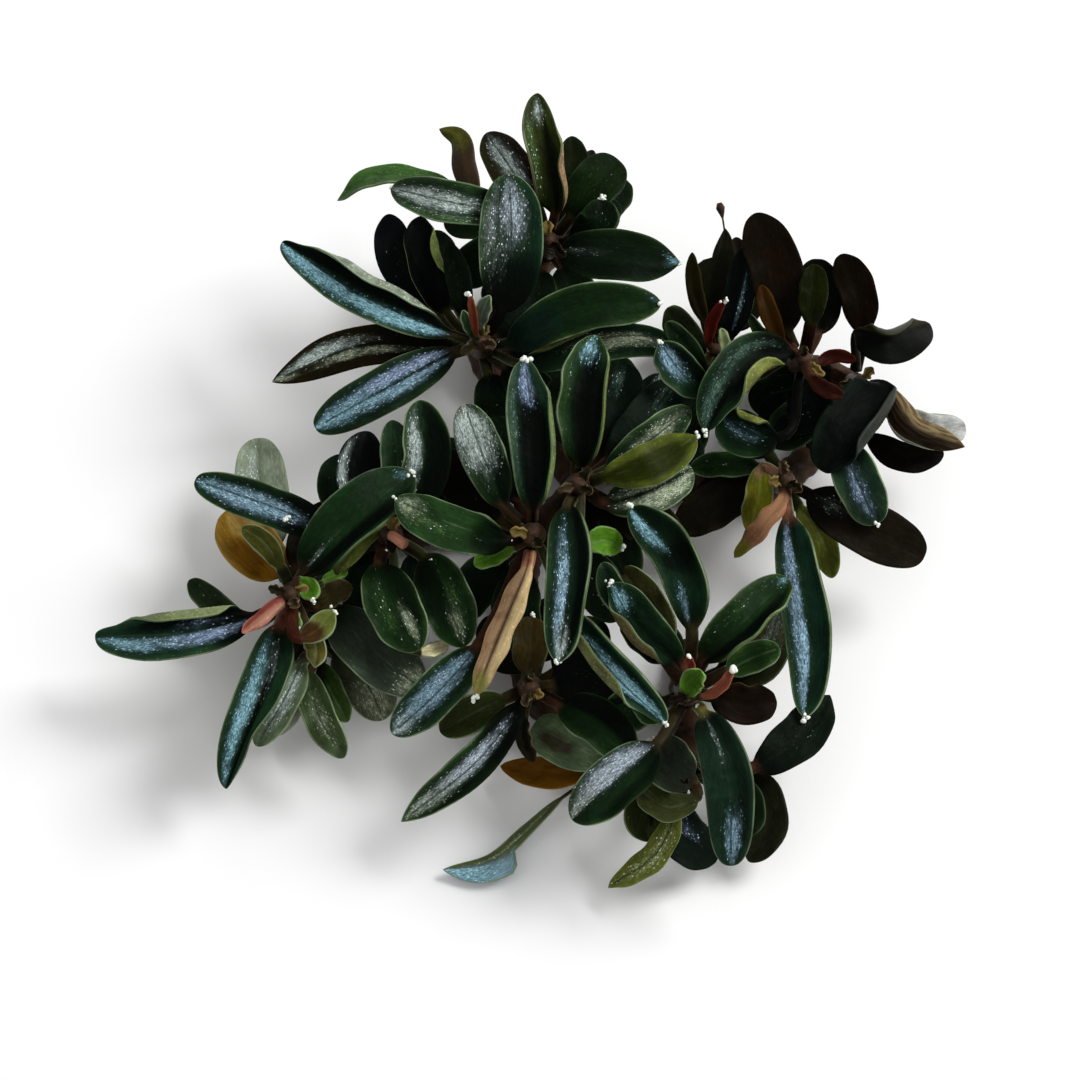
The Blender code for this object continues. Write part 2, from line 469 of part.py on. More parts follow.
def shoot_radius(level):
    return SHOOT_TIP_RADIUS + (SHOOT_RADIUS - SHOOT_TIP_RADIUS) * min(1.0, level / 6.0)


def midrib_points(row, level):
    """Corner points of the midrib, from the shoot to the tip, before it is lifted."""
    root = shoot_top(row.shoot) - BACK * level
    path = np.array(row.path)
    root_across, root_down, _ = seen(root)
    steps = np.vstack([[root_across, root_down], path])
    travelled = np.concatenate([[0.0], np.cumsum(np.linalg.norm(np.diff(steps, axis=0), axis=1))])
    share = travelled / travelled[-1]
    rises = root[2] + row.rise * share + 4 * row.arch * share * (1 - share)
    points = [placed(a, d, h) for (a, d), h in zip(path, rises[1:])]
    outward = points[0] - root
    outward = unit(outward - (outward @ BACK) * BACK)
    reach = shoot_radius(level)
    reach = reach + JOINT_GAP if row.own else 0.4 * reach
    return np.vstack([root + outward * reach, points])


def smooth_curve(corners, shares):
    """Points at shares of the length of a smooth curve through the corners."""
    gaps = np.linalg.norm(np.diff(corners, axis=0), axis=1)
    knots = np.concatenate([[0.0], np.cumsum(gaps)]) / gaps.sum()
    slopes = np.gradient(corners, knots, axis=0)
    place = np.clip(np.searchsorted(knots, shares, side="right") - 1, 0, len(knots) - 2)
    span = (knots[place + 1] - knots[place])[:, None]
    t = ((shares - knots[place])[:, None]) / span
    p0, p1 = corners[place], corners[place + 1]
    m0, m1 = slopes[place] * span, slopes[place + 1] * span
    return ((2 * t**3 - 3 * t**2 + 1) * p0 + (t**3 - 2 * t**2 + t) * m0
            + (-2 * t**3 + 3 * t**2) * p1 + (t**3 - t**2) * m1)


def blade_start(corners):
    gaps = np.linalg.norm(np.diff(corners, axis=0), axis=1)
    return gaps[0] / gaps.sum()


def half_widths(row, shares, start):
    """Half width along the leaf: a slim petiole, then an oblong blade, and its pointed or blunt tip."""
    along = np.clip((shares - start) / (1 - start), 0, 1)
    tip_power = 0.56
    if row.name in POINTED:
        tip_power = 0.85
    elif row.name in BROAD:
        tip_power = 0.42
    from_middle = np.abs(2 * along - 1)
    blade = 0.5 * row.width * (1 - from_middle ** 2.5) ** np.where(along < 0.5, 0.68, tip_power)
    petiole = 0.5 * min(PETIOLE_WIDTH, 0.6 * row.width)
    return np.maximum(blade, petiole * np.clip(1.5 * (1 - along) - 0.5, 0, 1)), along


def margin_turn(row, degrees, along, outward):
    """Turn of the surface along the blade and outward from the midrib, and the share of its width kept.

    A margin curls up evenly, or rolls over in a fold; where a roll fades out the blade is narrower.
    """
    if abs(degrees) <= ROLLED_MARGIN:
        lengthwise = np.sin(math.pi * np.clip(along, 0, 1)) ** 0.6
        return math.radians(degrees) * lengthwise[:, None] * outward[None, :] ** 1.3, np.ones(len(along))
    first, last, fold, wider = ROLLS[row.name]
    rise = np.clip((along - first) / 0.22, 0, 1)
    fall = np.clip((last - along) / 0.35, 0, 1)
    lengthwise = (rise * rise * (3 - 2 * rise)) * (fall * fall * (3 - 2 * fall))
    folded = np.clip((outward - fold) / FOLD_WIDTH, 0, 1)
    folded = folded * folded * (3 - 2 * folded)
    flat_share = min(1.0, fold + 0.2)
    kept = flat_share + (wider - flat_share) * lengthwise
    return math.radians(degrees) * lengthwise[:, None] * folded[None, :], kept


def torn_share(row, sign, along):
    """Share of the width that is left on this side of the midrib of a torn or lopsided leaf."""
    share = np.ones(len(along))
    for side, first, last, remains, fade in TEARS.get(row.name, []):
        if side == sign:
            inside = np.clip((along - first) / fade, 0, 1) * np.clip((last - along) / fade, 0, 1)
            share *= 1 - (1 - remains) * inside
    return share


def leaf_surface(row, corners, lift, shares, across_places):
    """Middle surface, its normals and the thickness of a leaf, on a grid of shares and places across."""
    step = 1e-3
    lifted = []
    for offset in (-step, 0.0, step):
        at = np.clip(shares + offset, 0, 1)
        rib = smooth_curve(corners, at)
        raise_by = lift[0] * np.sin(math.pi * at) + lift[1] * at**1.5
        lifted.append(rib + raise_by[:, None] * unit(EYE - rib))
    rib = lifted[1]
    forward = unit(lifted[2] - lifted[0])
    facing = unit(EYE - rib) + np.array([0.0, 0.0, UPWARD_FACING])
    normal = unit(facing - np.sum(facing * forward, axis=1, keepdims=True) * forward)
    side = np.cross(normal, forward)
    roll = math.radians(row.roll)
    side, normal = (side * math.cos(roll) + normal * math.sin(roll),
                    normal * math.cos(roll) - side * math.sin(roll))
    start = blade_start(corners)
    half, along = half_widths(row, shares, start)
    middle = np.empty((len(shares), len(across_places), 3))
    normals = np.empty_like(middle)
    steps = 24
    fine = np.linspace(0, 1, steps + 1)
    for sign, degrees in ((1.0, row.left), (-1.0, row.right)):
        turn, kept = margin_turn(row, degrees, along, fine)
        side_half = half * kept * torn_share(row, sign, along)
        mean_turn = 0.5 * (turn[:, 1:] + turn[:, :-1])
        zero = np.zeros((len(shares), 1))
        outward = np.hstack([zero, np.cumsum(np.cos(mean_turn), axis=1)]) / steps
        upward = np.hstack([zero, np.cumsum(np.sin(mean_turn), axis=1)]) / steps
        for j, place in enumerate(across_places):
            if place * sign < 0 or (place == 0 and sign < 0):
                continue
            low = min(int(abs(place) * steps), steps - 1)
            part = abs(place) * steps - low
            angle = ((1 - part) * turn[:, low] + part * turn[:, low + 1])[:, None]
            out = ((1 - part) * outward[:, low] + part * outward[:, low + 1]) * side_half * sign
            high = ((1 - part) * upward[:, low] + part * upward[:, low + 1]) * side_half
            middle[:, j] = rib + side * out[:, None] + normal * high[:, None]
            normals[:, j] = normal * np.cos(angle) - side * np.sin(angle) * sign
    petiole_share = np.clip(1.5 * (1 - along) - 0.5, 0, 1) ** 4
    thick = BLADE_THICKNESS + (PETIOLE_THICKNESS - BLADE_THICKNESS) * petiole_share
    thick = thick * np.clip((1 - along) * 8, 0, 1)
    rounding = np.sqrt(np.clip(1 - np.array(across_places) ** 2, 0, 1))
    return middle, normals, thick[:, None] * rounding[None, :]


def shares_of(start, along_places):
    return np.concatenate([[0.0], start + (1 - start) * np.array(along_places)])


SAMPLE_SHARES = np.linspace(0, 1, 64)
SAMPLE_ACROSS = np.linspace(-1, 1, 19)


def settle(row, corners, nearest):
    """Least lift toward the viewer that carries a leaf clear of all that lies behind it."""
    lift = np.zeros(2)
    cells = nearest.shape[0]
    middle_weight = np.sin(math.pi * SAMPLE_SHARES)
    tip_weight = SAMPLE_SHARES**1.5
    for _ in range(4):
        middle, normals, thick = leaf_surface(row, corners, lift, SAMPLE_SHARES, SAMPLE_ACROSS)
        need = np.zeros(len(SAMPLE_SHARES))
        for side in (1, -1):
            across, down, near = seen(middle + side * 0.5 * thick[..., None] * normals)
            column = np.clip((across / LAYER_CELL).astype(int), 0, cells - 1)
            line = np.clip((down / LAYER_CELL).astype(int), 0, cells - 1)
            need = np.maximum(need, (nearest[line, column] + LAYER_GAP - near).max(axis=1))
        across, down, _ = seen(middle[:, len(SAMPLE_ACROSS) // 2])
        shoot = SHOOTS[row.shoot]
        crowded = np.hypot(across - shoot.across, down - shoot.down) < CROWDED_RADIUS
        need = np.where(crowded, 0, need)
        if need.max() <= 0.02:
            break
        best = None
        for tip in np.arange(0, HIGHEST_LIFT, 0.2):
            rest = need - tip * tip_weight
            usable = (middle_weight > 0.08) & (need > 0)
            blocked = (~usable) & (rest > 0.02) & (need > 0)
            if blocked.any():
                continue
            mid = max(0.0, (rest[usable] / middle_weight[usable]).max()) if usable.any() else 0.0
            cost = tip + 0.8 * mid
            if best is None or cost < best[0]:
                best = (cost, mid, tip)
        if best is None:
            break
        lift = np.minimum(lift + np.array(best[1:]), HIGHEST_LIFT)
    return lift


def stamp(nearest, points):
    """Records points as lying in front of what was there, with the cells beside them."""
    cells = nearest.shape[0]
    across, down, near = seen(points.reshape(-1, 3))
    column = (across / LAYER_CELL).astype(int)
    line = (down / LAYER_CELL).astype(int)
    for step_line in (-1, 0, 1):
        for step_column in (-1, 0, 1):
            np.maximum.at(nearest, (np.clip(line + step_line, 0, cells - 1),
                                    np.clip(column + step_column, 0, cells - 1)), near)


def arranged():
    """Corners and lift of the midrib of every leaf, laid one over the other from the back."""
    cells = int(2 * VIEW_MIDDLE / LAYER_CELL) + 1
    nearest = np.full((cells, cells), -1e3)
    depths = levels()
    laid = {}
    for row in laying_order():
        corners = midrib_points(row, depths[row.name])
        corners[:, 2] = np.maximum(corners[:, 2], 1.2)
        lift = settle(row, corners, nearest)
        middle, normals, thick = leaf_surface(row, corners, lift, SAMPLE_SHARES, SAMPLE_ACROSS)
        for side in (1, -1):
            stamp(nearest, middle + side * 0.5 * thick[..., None] * normals)
        laid[row.name] = (corners, lift)
    return laid


def leaf_faces(rows, columns):
    """Faces of a closed leaf: upper grid, lower grid inside the rim, petiole end and tip point."""
    inner = columns - 2

    def upper(i, j):
        return i * columns + j

    def lower(i, j):
        if j == 0 or j == columns - 1:
            return upper(i, j)
        return rows * columns + i * inner + (j - 1)

    tip = rows * columns + rows * inner
    faces = []
    for i in range(rows - 1):
        for j in range(columns - 1):
            faces.append((upper(i, j), upper(i, j + 1), upper(i + 1, j + 1), upper(i + 1, j)))
            faces.append((lower(i, j), lower(i + 1, j), lower(i + 1, j + 1), lower(i, j + 1)))
    for j in range(columns - 1):
        faces.append((upper(rows - 1, j), upper(rows - 1, j + 1), tip))
        faces.append((lower(rows - 1, j + 1), lower(rows - 1, j), tip))
    back_across = [upper(0, j) for j in range(columns - 1, -1, -1)]
    across_below = [lower(0, j) for j in range(1, columns - 1)]
    faces.append(tuple(back_across + across_below))
    return faces


# Rows of points along the blades, and the turn of a margin above which a leaf needs more across
FLAT_ALONG = [0.0, 0.15, 0.42, 0.7, 0.92]
CURLED_ALONG = [0.0, 0.14, 0.38, 0.64, 0.84, 0.95]
ROLLED_ALONG = [0.0, 0.14, 0.38, 0.62, 0.78, 0.92]
TORN_ALONG = [0.0, 0.2, 0.5, 0.57, 0.76, 0.92]
FUSED_ALONG = [0.0, 0.3, 0.65]
YOUNG_ALONG = [0.0, 0.45]
CURLED_MARGIN = 50


def leaf_mesh(row, corners, lift):
    """Vertices and faces of one leaf as a closed solid."""
    start = blade_start(corners)
    curl = max(abs(row.left), abs(row.right))
    places = [-1, 0, 1]
    if curl > ROLLED_MARGIN:
        fold = ROLLS[row.name][2]
        bends = [min(0.94, fold + FOLD_WIDTH * part) for part in (0.2, 0.5, 0.8)]
        sign = 1 if row.left > row.right else -1
        places = sorted([-1, 0, 1] + [sign * bend for bend in bends])
    elif curl > CURLED_MARGIN:
        places = [-1, -0.5, 0, 0.5, 1]
    if row.own and curl > ROLLED_MARGIN:
        along = ROLLED_ALONG
    elif row.own and row.name in TEARS:
        along = TORN_ALONG
    elif row.own:
        along = CURLED_ALONG if curl > CURLED_MARGIN else FLAT_ALONG
    else:
        along = YOUNG_ALONG if is_short(row) else FUSED_ALONG
    shares = shares_of(start, along)
    middle, normals, thick = leaf_surface(row, corners, lift, shares, places)
    top = middle + 0.5 * thick[..., None] * normals
    bottom = middle - 0.5 * thick[..., None] * normals
    tip, _, _ = leaf_surface(row, corners, lift, np.array([1.0]), [0.0])
    vertices = np.vstack([top.reshape(-1, 3), bottom[:, 1:-1].reshape(-1, 3), tip.reshape(-1, 3)])
    return vertices, leaf_faces(len(shares), len(places))


def tube_mesh(line, radii, sides, flat_bottom=False):
    """Closed tube along a line of points."""
    line = np.array(line, dtype=float)
    forward = unit(np.gradient(line, axis=0))
    reference = np.array([0.0, 0.0, 1.0]) if abs(forward[0][2]) < 0.8 else np.array([0.0, 1.0, 0.0])
    vertices = []
    for point, direction, radius in zip(line, forward, radii):
        across = unit(np.cross(direction, reference))
        over = np.cross(across, direction)
        for k in range(sides):
            angle = 2 * math.pi * (k + 0.5) / sides
            corner = point + radius * (math.sin(angle) * across + math.cos(angle) * over)
            if flat_bottom:
                corner[2] = max(corner[2], 0.0)
            vertices.append(corner)
    faces = []
    for i in range(len(line) - 1):
        for k in range(sides):
            n = (k + 1) % sides
            faces.append((i * sides + k, i * sides + n, (i + 1) * sides + n, (i + 1) * sides + k))
    faces.append(tuple(range(sides - 1, -1, -1)))
    last = (len(line) - 1) * sides
    faces.append(tuple(range(last, last + sides)))
    return np.array(vertices), faces


def make_object(name, vertices, faces):
    mesh = bpy.data.meshes.new(name)
    mesh.from_pydata([tuple(v) for v in vertices], [], faces)
    made = bpy.data.objects.new(name, mesh)
    bpy.context.scene.collection.objects.link(made)
    return made


def face_outward(made):
    """Turns the faces of a closed mesh outward."""
    work = bmesh.new()
    work.from_mesh(made.data)
    bmesh.ops.recalc_face_normals(work, faces=work.faces)
    bmesh.ops.triangulate(work, faces=work.faces)
    if work.calc_volume(signed=True) < 0:
        bmesh.ops.reverse_faces(work, faces=work.faces)
    work.to_mesh(made.data)
    work.free()


def fuse(name, pieces):
    """Unites overlapping closed pieces into one solid."""
    body = pieces[0]
    for piece in pieces[1:]:
        union = body.modifiers.new("union", "BOOLEAN")
        union.operation = "UNION"
        union.solver = "MANIFOLD"
        union.object = piece
        graph = bpy.context.evaluated_depsgraph_get()
        mesh = bpy.data.meshes.new_from_object(body.evaluated_get(graph))
        body.modifiers.clear()
        body.data = mesh
        bpy.data.objects.remove(piece)
    work = bmesh.new()
    work.from_mesh(body.data)
    bmesh.ops.dissolve_degenerate(work, dist=SHORTEST_EDGE, edges=work.edges)
    bmesh.ops.triangulate(work, faces=work.faces)
    work.to_mesh(body.data)
    work.free()
    body.name = name
    body.data.name = name
    return body


def surface(tone):
    """Material of this tone, made once."""
    name = tone if tone == "rhizome" else "leaf_" + tone
    if name in bpy.data.materials:
        return bpy.data.materials[name]
    red, green, blue, roughness = TONES[tone]
    material = bpy.data.materials.new(name)
    material.use_nodes = True
    shader = material.node_tree.nodes["Principled BSDF"]
    shader.inputs["Base Color"].default_value = (red, green, blue, 1.0)
    shader.inputs["Roughness"].default_value = roughness
    shader.inputs["Metallic"].default_value = 0.0
    return material


def finish(made, origin, tone, clump):
    """Puts a solid in metres with its own origin at this point, smooth, coloured and in the clump."""
    for vertex in made.data.vertices:
        vertex.co = (vertex.co - Vector(origin)) * METRES
    made.location = Vector(origin - CENTRE) * METRES
    made.parent = clump
    made.data.materials.clear()
    made.data.materials.append(surface(tone))
    made.data.shade_smooth()
    made.data.set_sharp_from_angle(angle=math.radians(60))


def section_line(stops):
    """Centre line of a creeping stem through its stops."""
    height = RHIZOME_RADIUS * math.cos(math.pi / 8)
    corners = []
    for stop in stops:
        if isinstance(stop, str):
            top = shoot_top(stop)
            foot = top - BACK * (top[2] - height) / BACK[2]
            corners.append(tuple(foot))
        else:
            corners.append((stop[0], stop[1], height))
    corners = np.array(corners)
    gaps = np.linalg.norm(np.diff(corners, axis=0), axis=1)
    knots = np.concatenate([[0.0], np.cumsum(gaps)]) / gaps.sum()
    between = 0.5 * (knots[1:] + knots[:-1])
    return smooth_curve(corners, np.sort(np.concatenate([knots, between])))


def build():
    for old in list(bpy.data.objects):
        bpy.data.objects.remove(old)
    clump = bpy.data.objects.new("bucephalandra", None)
    bpy.context.scene.collection.objects.link(clump)
    laid = arranged()
    for row in LEAVES:
        if row.own:
            solid = make_object(row.name, *leaf_mesh(row, *laid[row.name]))
            face_outward(solid)
            petiole_base = laid[row.name][0][0]
            finish(solid, petiole_base, row.tone, clump)
    for name, stops in SECTIONS.items():
        line = section_line(stops)
        pieces = [make_object(name, *tube_mesh(line, [RHIZOME_RADIUS] * len(line), 8, True))]
        for stop in stops:
            if not isinstance(stop, str):
                continue
            top = shoot_top(stop)
            length = (top[2] - 1.2) / BACK[2]
            upright = [top - BACK * along for along in (length, 6.0, 0.5, 0.0)]
            radii = [SHOOT_RADIUS, SHOOT_RADIUS, SHOOT_TIP_RADIUS, 0.35]
            pieces.append(make_object(stop, *tube_mesh(upright, radii, 6)))
            for row in LEAVES:
                if row.shoot == stop and not row.own:
                    pieces.append(make_object(row.name, *leaf_mesh(row, *laid[row.name])))
        for piece in pieces:
            face_outward(piece)
        growing_end = np.array([line[0][0], line[0][1], 0.0])
        finish(fuse(name, pieces), growing_end, "rhizome", clump)
    return laid


LAID = build()
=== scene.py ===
"""Looks of a bucephalandra clump: leathery leaves with a fine painted sparkle, on short shoots and
rhizomes.

The plant is laid out as it is seen in a slanted view from in front and above. Lengths are millimetres
until a mesh is written.
"""

import math
import zlib
from collections import namedtuple

import bmesh
import bpy
import numpy as np
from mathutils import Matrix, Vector


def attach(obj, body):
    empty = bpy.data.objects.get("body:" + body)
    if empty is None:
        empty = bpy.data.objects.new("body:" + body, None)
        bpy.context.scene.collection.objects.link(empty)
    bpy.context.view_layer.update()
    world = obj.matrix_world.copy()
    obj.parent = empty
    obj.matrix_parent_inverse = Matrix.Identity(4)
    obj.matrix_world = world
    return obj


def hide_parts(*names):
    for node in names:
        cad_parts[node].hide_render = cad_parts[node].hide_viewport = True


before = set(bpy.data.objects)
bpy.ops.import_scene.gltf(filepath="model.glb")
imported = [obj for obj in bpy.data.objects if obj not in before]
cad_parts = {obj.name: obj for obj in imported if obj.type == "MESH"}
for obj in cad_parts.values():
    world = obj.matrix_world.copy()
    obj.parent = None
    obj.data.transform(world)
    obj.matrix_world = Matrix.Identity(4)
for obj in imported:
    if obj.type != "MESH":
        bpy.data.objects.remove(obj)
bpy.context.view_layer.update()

METRES = 0.001

# Middle of the clump's outline on the surface, taken as the origin
CENTRE = np.array([0.7, 3.8, 0.0])

# The slanted view
VIEW_ELEVATION = math.radians(60)
VIEW_DISTANCE = 450.0
VIEW_MIDDLE = 54.0
VIEW_TARGET = np.array([0.9, -2.0, 12.0])
SENSOR_WIDTH = 36.0
BACK = np.array([0.0, -math.cos(VIEW_ELEVATION), math.sin(VIEW_ELEVATION)])
UP = np.array([0.0, math.sin(VIEW_ELEVATION), math.cos(VIEW_ELEVATION)])
RIGHT = np.array([1.0, 0.0, 0.0])
EYE = VIEW_TARGET + VIEW_DISTANCE * BACK

# Stems
RHIZOME_RADIUS = 1.7
SHOOT_RADIUS = 1.35
SHOOT_TIP_RADIUS = 0.8
TAPER_LENGTH = 6.0

# Places of the leaf bases below a growing point: the first one, the step to the next, and the height
# that stays free at the foot. Young leaves sit closer.
FIRST_LEVEL = 1.6
LEVEL_STEP = 1.1
FOOT_ROOM = 4.0
YOUNG_LEVEL = 0.5
YOUNG_STEP = 0.25

# Gap between a stalk and its shoot; a fused stalk begins at this share of the shoot's radius
JOINT_GAP = 0.4
FUSED_REACH = 0.4

# Skins of the stems: share of the radius, and rings along them
SKIN_SHARE = 0.94
SHOOT_SKIN_SHARE = 0.92
SKIN_RINGS = 60
SHOOT_RINGS = 40

# Leaves
PETIOLE_WIDTH = 1.3
PETIOLE_THICKNESS = 0.8
BLADE_THICKNESS = 0.55
UPWARD_FACING = 0.35
SHORT_LEAF = 5.6
LOWEST_RIB = 1.2
LOWEST_HIDDEN_RIB = 1.0
SLOPE_STEP = 1e-3
TURN_STEPS = 24

# Powers that shape the tip of a blade
POINTED_POWER = 0.85
PLAIN_POWER = 0.56
BROAD_POWER = 0.42

# Rolled margins: least turn in degrees, and shares of the blade over which a roll begins and ends
ROLLED_MARGIN = 95
FOLD_WIDTH = 0.45
ROLL_BEGINS_OVER = 0.22
ROLL_ENDS_OVER = 0.35

# Laying one leaf over another
LAYER_GAP = 0.45
LAYER_CELL = 0.4
HIGHEST_LIFT = 14.0
LIFT_STEP = 0.2
MIDDLE_COST = 0.8
SETTLE_ROUNDS = 4
CLEAR_ENOUGH = 0.02
LEAST_WEIGHT = 0.08
CROWDED_RADIUS = 3.4

Shoot = namedtuple("Shoot", "across down height")
Leaf = namedtuple("Leaf", "name shoot path width rise arch roll left right tone own")

# Growing points, each on top of an upright shoot: across, down, height
SHOOTS = {
    "north": Shoot(54.8, 24.0, 20.0),
    "northwest": Shoot(48.0, 34.2, 18.0),
    "northeast_small": Shoot(71.7, 35.2, 14.0),
    "northeast": Shoot(80.5, 36.0, 16.0),
    "northeast_low": Shoot(86.0, 38.3, 13.0),
    "east": Shoot(78.6, 48.0, 14.0),
    "middle": Shoot(57.8, 48.5, 20.0),
    "centre": Shoot(53.3, 53.5, 20.0),
    "west_middle": Shoot(38.8, 53.5, 16.0),
    "west": Shoot(29.0, 59.5, 14.0),
    "west_low": Shoot(32.3, 64.0, 9.0),
    "south": Shoot(53.0, 69.0, 12.0),
    "southeast": Shoot(69.0, 69.5, 15.0),
    "southeast_low": Shoot(68.6, 77.0, 10.0),
    "south_low": Shoot(62.6, 76.4, 7.0),
}


def leaf(name, path, width, rise, arch, tone="dark", left=22, right=22, roll=0, own=True):
    """One leaf: blade start, middle and tip in the view; margins turn by left and right degrees."""
    return Leaf(name, None, path, width, rise, arch, roll, left, right, tone, own)


def fused(*values, **turns):
    """A leaf without a gap between its stalk and the stem."""
    return leaf(*values, own=False, **turns)


def on(shoot, *rows):
    """The leaves of one shoot."""
    return [row._replace(shoot=shoot) for row in rows]


